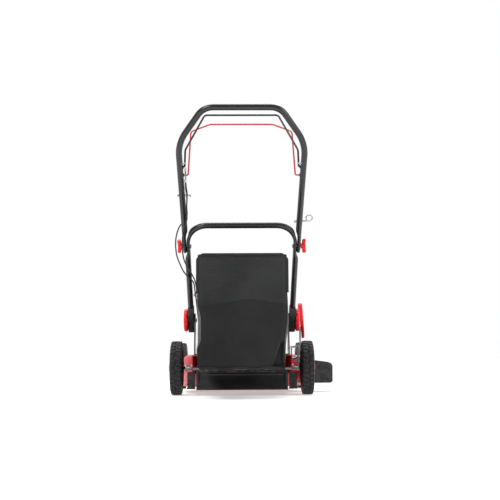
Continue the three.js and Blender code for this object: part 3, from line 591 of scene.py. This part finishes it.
def handles():
    handle_tube("lower_handle_tube",
                [(-LOWER_FOOT_HALF, 0.012), (-LOWER_TOP_HALF, CROSSBAR),
                 (LOWER_TOP_HALF, CROSSBAR), (LOWER_FOOT_HALF, 0.012)], 0.075,
                lap_press(-1, LAP_AT - 0.028, LAP_AT + 0.04), "black_paint", "lower_handle",
                "lower_handle")
    handle_tube("upper_handle_tube",
                [(-UPPER_FOOT_HALF, UPPER_START), (-UPPER_HALF, UPPER_BEND),
                 (-UPPER_TOP_HALF, UPPER_TOP), (UPPER_TOP_HALF, UPPER_TOP),
                 (UPPER_HALF, UPPER_BEND), (UPPER_FOOT_HALF, UPPER_START)],
                (0.15, 0.062, 0.062, 0.15), lap_press(1, 0.2, LAP_AT + 0.04), "black_paint",
                "upper_handle", "upper_handle")
    # plastic plugs in the open ends of the upper tubes, and the bails' small nylon bushes
    for side in (-1, 1):
        end = beside(side * (UPPER_FOOT_HALF + 0.0045), UPPER_START + 0.004)
        plug = sweep(f"tube_plug_{side}", [(end - UP_HANDLE * 0.007, UP_HANDLE),
                                           (end, UP_HANDLE)], 0.0066, MAT["black_plastic"], 20)
        finish_piece(plug, "upper_handle")
        for name, s, r in (("brake", 0.6726, 0.0062), ("drive", 0.641, 0.0055)):
            half = UPPER_FOOT_HALF + (s - UPPER_START) / (UPPER_BEND - UPPER_START) * (
                UPPER_HALF - UPPER_FOOT_HALF)
            at = beside(side * (half - TUBE_R - 0.0022), s)
            bush = turned(f"{name}_bush_{side}", [(0.0040, 0), (r, 0), (r, 0.0022),
                                                  (0.0040, 0.0022), (0.0040, 0)],
                          at, (side, 0, 0), MAT["black_plastic"], 24)
            finish_piece(bush, "upper_handle")
    for side in (-1, 1):  # stop pins that the brake bail comes to rest on when it is squeezed
        pin = sweep(f"stop_pin_{side}",
                    [(beside(side * 0.1965, 0.6895, STOP_PIN_OFF), Vector((side, 0, 0))),
                     (beside(side * 0.222, 0.6895, STOP_PIN_OFF), Vector((side, 0, 0)))], 0.0024,
                    MAT["zinc_steel"], 14)
        finish_piece(pin, "upper_handle")


def bail(name, node, joint, lean, outline, radii, r, slot_name):
    base = pivot(joint)
    turn = Matrix.Rotation(-lean, 3, "X")
    up = turn @ UP_HANDLE
    stops = rounded([Vector((CENTRE_X + x, base.y + up.y * d, base.z + up.z * d))
                     for x, d in outline], radii, 8)
    obj = sweep(name, stops, r, MAT[slot_name], 18)
    return finish_piece(obj, BODY_OF[node], (node,))


def bails():
    brake = [(-0.222, 0), (-0.2, 0), (-0.2, 0.071), (-0.133, 0.222)]
    drive = [(-0.22, 0), (-0.189, 0), (-0.186, 0.213), (-0.115, 0.25)]

    def mirrored(half):
        return half + [(-x, d) for x, d in reversed(half)]

    bail("brake_bail_rod", "brake_bail", "brake_bail_squeeze", math.radians(59.3),
         mirrored(brake), (0.007, 0.03, 0.014, 0.014, 0.03, 0.007), 0.0036, "black_paint")
    bail("drive_bail_rod", "drive_bail", "drive_bail_squeeze", math.radians(68.9),
         mirrored(drive), (0.006, 0.022, 0.03, 0.03, 0.022, 0.006), 0.0030, "red_paint")


# ---------------------------------------------------------------- cables
def cable_part(name, node, points):
    stops = smooth_curve(points, 7)
    obj = sweep(name, stops, 0.0025, MAT["cable_black"], 12)
    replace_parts(obj, node)
    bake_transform(obj)
    return obj


def cables():
    brake_upper = [beside(-0.199, 0.652, 0.014), beside(-0.199, 0.6, 0.010),
                   beside(-0.196, 0.56, 0.008), beside(-0.199, 0.51, 0.008),
                   beside(-0.199, 0.475, 0.011), beside(-0.205, 0.452, 0.017),
                   beside(-0.219, 0.434, 0.019), beside(-0.233, 0.412, 0.015),
                   beside(-0.243, 0.38, 0.006), beside(-0.246, 0.345, 0.0)]
    brake_lower = [beside(-0.246, 0.345, 0.0), beside(-0.243, 0.31, -0.006),
                   beside(-0.233, 0.275, -0.010), beside(-0.218, 0.24, -0.016),
                   beside(-0.2, 0.215, -0.017), beside(-0.184, 0.19, -0.012),
                   beside(-0.18, 0.15, -0.008), beside(-0.177, 0.1, 0.0),
                   place(-0.172, 0.084, 0.3), place(-0.168, 0.096, 0.25), place(-0.16, 0.11, 0.2),
                   place(-0.152, 0.124, 0.172), place(-0.142, 0.15, 0.172)]
    drive_upper = [beside(-0.199, 0.622, -0.012), beside(-0.199, 0.59, -0.009),
                   beside(-0.196, 0.56, -0.008), beside(-0.199, 0.51, -0.008),
                   beside(-0.199, 0.47, -0.011), beside(-0.206, 0.445, -0.018),
                   beside(-0.214, 0.415, -0.026), beside(-0.218, 0.38, -0.036),
                   beside(-0.218, 0.345, -0.04)]
    drive_lower = [beside(-0.218, 0.345, -0.04), beside(-0.214, 0.31, -0.038),
                   beside(-0.204, 0.27, -0.026), beside(-0.19, 0.235, -0.019),
                   beside(-0.178, 0.2, -0.016), beside(-0.172, 0.15, -0.014),
                   beside(-0.17, 0.1, -0.010), place(-0.164, 0.06, 0.29), place(-0.16, 0.03, 0.24),
                   place(-0.158, 0.004, 0.2), place(-0.158, -0.016, 0.165),
                   place(-0.154, -0.024, 0.13)]
    for name, upper, lower in (("brake", brake_upper, brake_lower),
                               ("drive", drive_upper, drive_lower)):
        cable_part(f"{name}_cable_run", f"{name}_cable_upper", upper)
        cable_part(f"{name}_cable_tail", f"{name}_cable_lower", lower)
    # bare inner wires from the sheaths' ends up to the bails, with their ferrules
    for name, x, s, off, reach in (("brake", -0.199, 0.652, 0.014, 0.03),
                                   ("drive", -0.199, 0.622, -0.012, 0.03)):
        start = beside(x, s - 0.004, off)
        ferrule = turned(f"{name}_ferrule", [(0.0026, 0), (0.0036, 0.001), (0.0036, 0.011),
                                             (0.0022, 0.013)], start, UP_HANDLE,
                         MAT["zinc_steel"], 20)
        finish_piece(ferrule, "upper_handle")
        top = beside(x + 0.003, s + reach, off * 0.4)
        wire = sweep(f"{name}_wire", smooth_curve([start + UP_HANDLE * 0.012,
                                                   beside(x + 0.001, s + reach * 0.6, off * 0.8),
                                                   top], 5), 0.0008, MAT["zinc_steel"], 8)
        finish_piece(wire, "upper_handle")
    # a cable tie round both sheaths where they reach the foot
    tie = turned("cable_tie", [(0.0085, -0.002), (0.0098, -0.002), (0.0098, 0.002),
                               (0.0085, 0.002), (0.0085, -0.002)], beside(-0.1750, 0.13, -0.010),
                 UP_HANDLE, MAT["black_plastic"], 24)
    finish_piece(tie, "lower_handle")


# ---------------------------------------------------------------- wheels
TYRE_W = 0.0445
RIM_R = 0.066
LUGS = 34


def tread(r, along, angle):
    """Blocks on the tread: a zigzag centre groove and shoulder lugs that alternate."""
    if r < WHEEL_R - 0.012:
        return 0.0
    turn = angle / (2 * math.pi) * LUGS
    across = along / (TYRE_W / 2)
    side_shift = 0.5 if across > 0 else 0.0
    phase = (turn + side_shift + 0.25 * abs(across)) % 1.0
    cut = smoothstep(0.0, 0.08, phase) * (1 - smoothstep(0.66, 0.74, phase))
    zigzag = 0.12 * (1 if (turn * 0.5) % 1 < 0.5 else -1)
    centre = smoothstep(0.06, 0.14, abs(across - zigzag))
    return -0.0032 * (1 - min(cut, centre))


def tyre_piece(name, node, centre, side):
    outer = WHEEL_R
    half = TYRE_W / 2
    profile = [(RIM_R, -half + 0.004), (RIM_R + 0.004, -half + 0.001), (RIM_R + 0.013, -half),
               (RIM_R + 0.0135, -half + 0.0006), (RIM_R + 0.02, -half + 0.0006),
               (outer - 0.011, -half + 0.0006), (outer - 0.006, -half + 0.0018)]
    steps = 22
    for k in range(steps + 1):
        a = -half + 0.004 + (2 * half - 0.008) * k / steps
        crown = 0.0018 * (a / half) ** 2
        profile.append((outer - crown, a))
    profile += [(r, -h) for r, h in reversed(profile[:7])]
    profile.append(profile[0])
    obj = turned(name, profile, centre, (side, 0, 0), MAT["tyre"], 272, 30, tread)
    return finish_piece(obj, BODY_OF[node], (node,))


def rim_piece(name, node, centre, side, red_trim):
    out = TYRE_W / 2
    r = RIM_R - 0.0004
    profile = [(0.0066, -0.012), (0.019, -0.012), (0.02, -0.011), (0.02, 0.001),
               (r - 0.006, 0.005), (r - 0.0045, -out + 0.006), (r, -out + 0.005),
               (r, out - 0.005), (r - 0.002, out - 0.003), (r - 0.006, out - 0.004),
               (r - 0.009, out - 0.009), (0.052, 0.0115), (0.03, 0.013), (0.025, 0.0145),
               (0.024, out - 0.002), (0.023, out - 0.001), (0.0066, out - 0.001),
               (0.0066, -0.012)]
    parts = [turned(name, profile, centre, (side, 0, 0), MAT["black_plastic"], 96, 30)]
    for k in range(6):  # spokes pressed into the web
        a = 2 * math.pi * k / 6
        turn = Matrix.Rotation(a, 4, "X")
        rib = block(f"{name}_rib_{k}", (side * 0.012 - 0.002, -0.004, 0.024),
                    (side * 0.012 + 0.0055 * side + 0.002, 0.004, 0.056),
                    MAT["black_plastic"], 0.0012, 2)
        rib.data.transform(Matrix.Translation(centre) @ turn)
        parts.append(rib)
    obj = finish_piece(joined(parts, name), BODY_OF[node], (node,))
    if red_trim:
        trim = turned(name + "_trim", [(0.04, out - 0.0085), (0.058, out - 0.0085),
                                       (0.0595, out - 0.004), (0.056, out + 0.001),
                                       (0.044, out + 0.001), (0.04, out - 0.004),
                                       (0.04, out - 0.0085)],
                      centre, (side, 0, 0), MAT["red_plastic"], 96, 30)
        finish_piece(trim, BODY_OF[node])
    return obj


def wheels():
    for end, axle in (("rear", REAR_AXLE), ("front", FRONT_AXLE)):
        for side_name, side in (("left", -1), ("right", 1)):
            low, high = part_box(f"{end}_tyre_{side_name}")
            centre = Vector(((low.x + high.x) / 2, axle.y, axle.z))
            tyre_piece(f"{end}_{side_name}_tread", f"{end}_tyre_{side_name}", centre, side)
            rim_piece(f"{end}_{side_name}_wheel", f"{end}_rim_{side_name}", centre, side,
                      end == "rear")
            if end == "rear":
                refine(f"rear_cap_{side_name}", 0.001, 3)


# ---------------------------------------------------------------- grass bag
BAG_HALF, BAG_BACK, BAG_MOUTH = 0.152, -0.390, -0.066
BAG_LOW, BAG_HIGH, BAG_MOUTH_HIGH, BAG_MOUTH_LOW = 0.102, 0.490, 0.235, 0.13
SHADE_LINE = 0.332  # height on the rear panel below which the bag fabric is drawn darker, as painted shade


def bag_section(t):
    """Half width, lowest and highest point of the bag at t, from 0 at the mouth to 1 behind."""
    y = BAG_MOUTH + (BAG_BACK - BAG_MOUTH) * t
    high = BAG_MOUTH_HIGH + (BAG_HIGH - BAG_MOUTH_HIGH) * t
    low = BAG_MOUTH_LOW + (BAG_LOW - BAG_MOUTH_LOW) * smoothstep(0.0, 0.25, t)
    return BAG_HALF, y, low, high


def creases(x, z):
    """Fine folds across the net fabric where it is pulled between the frame's corners."""
    bend = 0.10 * x * x * 8 + 0.02 * noise.noise(Vector((x * 7, z * 5, 1)))
    rows = math.sin(2 * math.pi * (z + bend) / 0.0125 + 3.5 * noise.noise(Vector((x * 9, z * 16, 7))))
    patch = smoothstep(-0.1, 0.45, noise.noise(Vector((x * 6, z * 8, 11))) + 0.25)
    return 0.0011 * rows * patch * smoothstep(0.345, 0.40, z) * smoothstep(0.145, 0.11, abs(x))


def wrinkles(p, t):
    """Soft creases that run down from the frame, deeper away from the mouth."""
    q = Vector((p.x * 9, p.y * 5, p.z * 4))
    broad = noise.noise(q) * 0.006
    fine = noise.noise(Vector((p.x * 26, p.y * 14, p.z * 11 + 5))) * 0.0022
    return (broad + fine) * min(1.0, 0.25 + t)


def bag_shell():
    """One continuous sewn shell: a tunnel from the mouth to the back, closed by the rear panel."""
    around, along, rear_rings = 216, 50, 84
    verts, faces, uvs = [], [], []

    def outline(k, half, low, high, corner):
        """Point k round a rectangle with round corners, from the middle of its top."""
        wide, tall = half * 2, high - low
        run = 2 * (wide + tall)
        d = (k / around * run + wide / 2) % run
        if d < wide:
            x, z = -half + d, high
        elif d < wide + tall:
            x, z = half, high - (d - wide)
        elif d < 2 * wide + tall:
            x, z = half - (d - wide - tall), low
        else:
            x, z = -half, low + (d - 2 * wide - tall)
        cx = max(-half + corner, min(half - corner, x))
        cz = max(low + corner, min(high - corner, z))
        off = Vector((x - cx, z - cz))
        if off.length > 1e-9:
            off = off.normalized() * corner if (abs(x - cx) > 1e-9 and abs(z - cz) > 1e-9) else off
        return cx + off.x, cz + off.y, d

    def taper(x, z):
        """The rear panel is drawn in below its frame, and flares again at its left hem."""
        if x < 0:
            drawn = 0.012 * (1 - smoothstep(0.27, 0.33, z)) * smoothstep(0.165, 0.205, z)
        else:
            drawn = 0.010 * (1 - smoothstep(0.19, 0.28, z))
        return x - math.copysign(drawn, x) * min(1.0, abs(x) / BAG_HALF)

    for i in range(along + 1):
        t = i / along
        half, y, low, high = bag_section(t)
        for k in range(around):
            x, z, d = outline(k, half, low, high, 0.016)
            p = Vector((x, y, z))
            centre = Vector((0, y, (low + high) / 2))
            out = (p - centre).normalized()
            mid = math.sin(math.pi * min(1.0, t * 1.02))
            top_face = z > high - 0.01 and abs(x) < half * 0.97
            sag = -0.010 * mid * (1 - (x / half) ** 2) if top_face else 0.0
            side_face = abs(x) > half - 0.01
            drawn = math.sin(math.pi * (z - low) / max(0.01, high - low))
            pull = -0.011 * mid * drawn if side_face else 0.0
            p += out * (wrinkles(p, t) * (0.2 + 0.8 * mid))
            p.z += sag
            p.x += math.copysign(pull, x) if side_face else 0.0
            p.x = p.x * (1 - t) + taper(p.x, p.z) * t
            verts.append(place(*p))
            uvs.append((d, t * 0.42))
    for i in range(along):
        for k in range(around):
            a, b = i * around + k, i * around + (k + 1) % around
            faces.append((a, b, b + around, a + around))
    base = along * around
    half, y, low, high = bag_section(1.0)
    mid = Vector((0, y, (low + high) / 2))
    for ring in range(1, rear_rings + 1):
        scale = 1 - ring / rear_rings
        for k in range(around):
            x, z, d = outline(k, half, low, high, 0.016)
            edge = Vector((x, y, z))
            p = mid + (edge - mid) * max(scale, 0.0)
            depth = (1 - max(abs(p.x) / half, abs(p.z - mid.z) / ((high - low) / 2)))
            p.y -= 0.006 * smoothstep(0.0, 0.12, depth)
            p.y += 0.010 * smoothstep(0.1, 0.9, depth) * smoothstep(0.25, 0.5, p.z)
            p.y += wrinkles(Vector((p.x, p.z * 0.5, p.z)), 1.0) * smoothstep(0.0, 0.2, depth) * 0.9
            p.y += gusset(p.x, p.z) * smoothstep(0.0, 0.05, depth) + creases(p.x, p.z)
            p.x = taper(p.x, p.z)
            if ring == rear_rings and k:
                continue
            verts.append(place(*p))
            uvs.append((p.x + 1.0, p.z))
    for ring in range(rear_rings):
        here = base + ring * around
        for k in range(around):
            a, b = here + k, here + (k + 1) % around
            if ring == rear_rings - 1:
                faces.append((a, b, len(verts) - 1))
            else:
                faces.append((a, b, b + around, a + around))
    obj = new_mesh("bag_shell", verts, faces, MAT["bag_fabric"], 80)
    obj.data.materials.append(SHADED_BAG_FABRIC)
    layer = obj.data.uv_layers.new(name="UVMap")
    for loop in obj.data.loops:
        layer.data[loop.index].uv = uvs[loop.vertex_index]
    for poly in obj.data.polygons:
        # Faces below the shade line on the rear panel, and on the bag's floor and low sides, take the
        # darker fabric as painted shade.
        c = poly.center
        across = c.x - CENTRE_X
        line = SHADE_LINE + 0.006 * math.sin(22 * across + 1) - 0.05 * abs(across - 0.03)
        behind = c.y < REAR_AXLE.y + BAG_BACK + 0.012
        low_side = not behind and abs(across) > BAG_HALF - 0.02 and c.z < 0.2
        floor_or_side = c.z < 0.118 or low_side
        if (behind and c.z < line) or floor_or_side:
            poly.material_index = 1
    thick = obj.modifiers.new("cloth", "SOLIDIFY")
    thick.thickness = 0.0009
    applied(obj)
    shade(obj, 80)
    return obj


def gusset(x, z):
    """The fold where the rear panel's lower right corner is pleated in to the hem."""
    along = (0.2 - z) / 0.095
    line = 0.138 - 0.036 * along
    inside = smoothstep(0.0, 0.15, along) * (1 - smoothstep(0.9, 1.05, along))
    return 0.017 * smoothstep(line - 0.003, line + 0.003, x) * inside


def bag():
    shell = bag_shell()
    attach(shell, "bag")
    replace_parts(shell, "bag_fabric")
    half, y, low, high = bag_section(1.0)
    trims = []
    corner = 0.016
    rim = [(-half, 0.36), (-half, high - corner), (-half + corner, high), (half - corner, high),
           (half, high - corner), (half, 0.36)]
    top = rounded([place(x, y - 0.001, z) for x, z in rim], 0.012, 6)
    trims.append(ribbon("bag_binding_top", top, 0.010, 0.0016, (0, -1, 0.4)))
    for side in (-1, 1):
        points = []
        for k in range(15):
            t = k / 14
            hw, yy, _, hi = bag_section(t)
            points.append(place(side * (hw - 0.004), yy, hi - 0.001))
        trims.append(ribbon(f"bag_binding_side_{side}", smooth_curve(points, 3), 0.009, 0.0016,
                            (side * 0.7, 0.4, 0.6)))
    hem = [place(-0.143 + 0.286 * k / 12, y - 0.006, low + 0.004 + 0.003 * math.sin(k * 1.4))
           for k in range(13)]
    trims.append(ribbon("bag_binding_hem", smooth_curve(hem, 4), 0.009, 0.0014, (0, -1, 0.15)))
    binding = joined(trims, "bag_binding")
    shade(binding, 60)
    finish_piece(binding, "bag")
    strap()


def ribbon(name, stops, width, thick, facing):
    """A flat sewn tape along stations, lying across the given facing direction."""
    facing = Vector(facing).normalized()
    verts, faces = [], []
    for p, t in stops:
        f = (facing - t * facing.dot(t)).normalized()
        side = t.cross(f)
        for u, v in ((-1, -1), (-1, 0.6), (-0.7, 1), (0.7, 1), (1, 0.6), (1, -1)):
            verts.append(p + side * u * width / 2 + f * v * thick / 2)
    n = 6
    for i in range(len(stops) - 1):
        for k in range(n):
            a, b = i * n + k, i * n + (k + 1) % n
            faces.append((a, b, b + n, a + n))
    faces += [tuple(range(n)), tuple((len(stops) - 1) * n + k for k in range(n))]
    obj = new_mesh(name, verts, faces, BINDING, 60)
    layer = obj.data.uv_layers.new(name="UVMap")
    for loop in obj.data.loops:
        ring, k = divmod(loop.vertex_index, n)
        layer.data[loop.index].uv = (k * width / 4, ring * 0.006)
    return obj


def strap():
    """The webbing carry handle sewn across the top of the bag."""
    points = []
    for k in range(13):
        u = k / 12
        t = 0.62 + 0.26 * u
        _, y, _, high = bag_section(t)
        points.append(place(0, y, high + 0.003 + 0.010 * math.sin(math.pi * u) ** 0.7))
    tape = ribbon("bag_strap", smooth_curve(points, 3), 0.025, 0.0024, (0, 0.6, 0.8))
    finish_piece(tape, "bag")


# ---------------------------------------------------------------- knobs and lever grip
def wing_knobs():
    for side in (-1, 1):
        name = "left" if side < 0 else "right"
        at = beside(0, LAP_AT)
        tilt = Matrix.Rotation(WING_TURN[side], 3, "X")
        half, thick = 0.0255, 0.0068
        bar = block(f"wing_bar_{name}", (-thick, -0.0085, -half), (thick, 0.0085, half),
                    MAT["red_plastic"], 0.0038, 4)
        bm = bmesh.new()
        bm.from_mesh(bar.data)
        bmesh.ops.subdivide_edges(bm, edges=[e for e in bm.edges if e.calc_length() > 0.02],
                                  cuts=8, use_grid_fill=True)
        bm.to_mesh(bar.data)
        bm.free()
        for v in bar.data.vertices:
            u = abs(v.co.z) / half
            p = tilt @ Vector((0, v.co.y * (0.72 + 0.4 * u * u), v.co.z))
            v.co = Vector((CENTRE_X + side * (0.2305 + v.co.x + 0.002 * u * u), at.y + p.y, at.z + p.z))
        hub = turned(f"wing_hub_{name}",
                     [(0, 0.2196), (0.0105, 0.2196), (0.0105, 0.2222), (0.008, 0.2245),
                      (0.008, 0.231), (0, 0.231)],
                     (CENTRE_X, at.y, at.z), (side, 0, 0), MAT["red_plastic"])
        knob = joined([bar, hub], f"wing_knob_{name}_finished")
        shade(knob, 40)
        finish_piece(knob, f"wing_knob_{name}", (f"wing_knob_{name}",))
        bolt = turned(f"wing_bolt_{name}",
                      [(0, 0.1865), (0.006, 0.1870), (0.0085, 0.1885), (0.0088, 0.1905),
                       (0.004, 0.1906),
                       (0.004, 0.2196), (0, 0.2196)],
                      (CENTRE_X, at.y, at.z), (side, 0, 0), MAT["zinc_steel"])
        finish_piece(bolt, f"wing_knob_{name}")


def disc_knobs():
    """Scalloped clamp knobs at the handle's foot, each dished, with a zinc bolt through it."""
    for side in (-1, 1):
        name = "left" if side < 0 else "right"
        outline = [(0, 0.2108), (0.030, 0.2108), (0.040, 0.2116), (0.0436, 0.2136), (0.0445, 0.2165),
                   (0.0445, 0.2212), (0.0434, 0.2242), (0.040, 0.2262), (0.034, 0.2270),
                   (0.020, 0.2262), (0.017, 0.2240), (0, 0.2236)]
        knob = turned(f"disc_knob_{name}_finished", outline, (CENTRE_X, FOLD.y, FOLD.z), (side, 0, 0),
                      MAT["red_plastic"], 144, 35.0,
                      lambda r, h, a: -SCALLOP * max(0.0, math.cos(a * 12)) ** 2
                      * smoothstep(0.03, 0.042, r))
        finish_piece(knob, f"disc_knob_{name}", (f"disc_knob_{name}",))
        bolt = turned(f"disc_bolt_{name}",
                      [(0, 0.1762), (0.0065, 0.1766), (0.0092, 0.1780), (0.0095, 0.180),
                       (0.0042, 0.1802),
                       (0.0042, 0.2109), (0, 0.2109)],
                      (CENTRE_X, FOLD.y, FOLD.z), (side, 0, 0), MAT["zinc_steel"])
        finish_piece(bolt, f"disc_knob_{name}")


def height_grip():
    """The lever's grip: a broad red hook at its top that narrows down to the steel arm."""
    grip = refine("height_grip", 0.003, 4)
    low, high = GRIP_LOW, GRIP_HIGH
    world = grip.matrix_world
    back = world.inverted()
    for v in grip.data.vertices:
        p = world @ v.co
        x, z = p.x - CENTRE_X, p.z
        up = smoothstep(low + 0.02, high - 0.03, z)
        inner = 0.2415 - 0.0125 * up
        outer = 0.2515 - 0.0045 * up
        share = (x - 0.230) / 0.022
        p.x = CENTRE_X + inner + (outer - inner) * share
        v.co = back @ p


# ---------------------------------------------------------------- rear skirt and guards
def rear_skirt():
    """The hanging rubber shield: rolled over its rod, bowed, with a stiffening bead and folds."""
    across, down = 90, 40
    top, bottom, thick = 0.0905, 0.0205, 0.0014
    verts, faces = [], []
    for layer in (1, -1):
        for j in range(down + 1):
            u = j / down
            z = top + (bottom - top) * u
            y = -0.0495 - 0.0135 * smoothstep(0.05, 1.0, u) ** 1.2
            bead = (0.0016 * math.exp(-((u - 0.16) / 0.035) ** 2)
                    + 0.0013 * math.exp(-((u - 0.93) / 0.03) ** 2))
            groove = -0.0011 * math.exp(-((u - 0.24) / 0.02) ** 2)
            for i in range(across + 1):
                x = -SKIRT_HALF + 2 * SKIRT_HALF * i / across
                wave = 0.0012 * math.sin(x * 38 + 1) * u
                wave = wave + noise.noise(Vector((x * 14, u * 2, 3))) * 0.0014 * u
                off = (bead + groove) if layer > 0 else 0.0
                verts.append(place(x, y - layer * thick / 2 - off + wave, z))
    n = across + 1
    size = n * (down + 1)
    for layer in (0, 1):
        for j in range(down):
            for i in range(across):
                a = layer * size + j * n + i
                faces.append((a, a + 1, a + n + 1, a + n))
    for j in range(down):
        for i in (0, across):
            a = j * n + i
            faces.append((a, a + n, a + n + size, a + size))
    for i in range(across):
        for j in (0, down):
            a = j * n + i
            faces.append((a, a + 1, a + 1 + size, a + size))
    sheet = new_mesh("skirt_sheet", verts, faces, MAT["black_rubber"], 50)
    rod = turned("skirt_rod", [(0, -0.171), (0.0036, -0.171), (0.0036, 0.171), (0, 0.171)],
                 place(0, -0.050, 0.0885), (1, 0, 0), MAT["black_rubber"], 24)
    clips = [block(f"skirt_clip_{k}", place(x - 0.005, -0.0605, 0.023),
                   place(x + 0.005, -0.0475, 0.0905),
                   MAT["black_rubber"], 0.0015) for k, x in enumerate((-0.166, 0.166))]
    skirt = joined([sheet, rod, *clips], "rear_skirt")
    shade(skirt, 45)
    finish_piece(skirt, "trailing_shield", ("trailing_shield",))


def rear_guards():
    """Ribbed plastic guards each side of the skirt, with their screws."""
    for side in (-1, 1):
        name = "left" if side < 0 else "right"
        x0, x1 = sorted((side * 0.1755, side * 0.2045))
        parts = [block(f"guard_{name}", place(x0, -0.0615, 0.028), place(x1, -0.0575, 0.088),
                       MAT["black_plastic"], 0.0015)]
        for k in range(4):
            z = 0.036 + k * 0.014
            parts.append(block(f"guard_rib_{name}_{k}", place(x0 + 0.002, -0.0635, z),
                               place(x1 - 0.002, -0.0605, z + 0.0028), MAT["black_plastic"], 0.0008))
        parts.append(block(f"guard_foot_{name}", place(x0 - 0.001, -0.0625, 0.024),
                           place(x1 + 0.001, -0.0545, 0.031), MAT["black_plastic"], 0.0015))
        guard = joined(parts, f"rear_guard_{name}")
        shade(guard)
        finish_piece(guard, "deck")
        for k, z in enumerate((0.079, 0.112)):
            screw = turned(f"guard_screw_{name}_{k}", [(0, 0.0), (0.0048, 0.0), (0.0048, 0.0018),
                                                       (0.0035, 0.0032), (0.0014, 0.0034), (0, 0.0028)],
                           place(side * 0.190, -0.0575, z), (0, -1, 0), MAT["zinc_steel"], 24)
            finish_piece(screw, "deck")


# ---------------------------------------------------------------- build
handles()
bails()
cables()
wheels()
bag()
wing_knobs()
disc_knobs()
height_grip()
rear_skirt()
rear_guards()
done = {n for piece in bpy.data.objects for n in piece.get("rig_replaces", [])}
for node in sorted(set(frame["nodes"]) - done):
    refine(node)
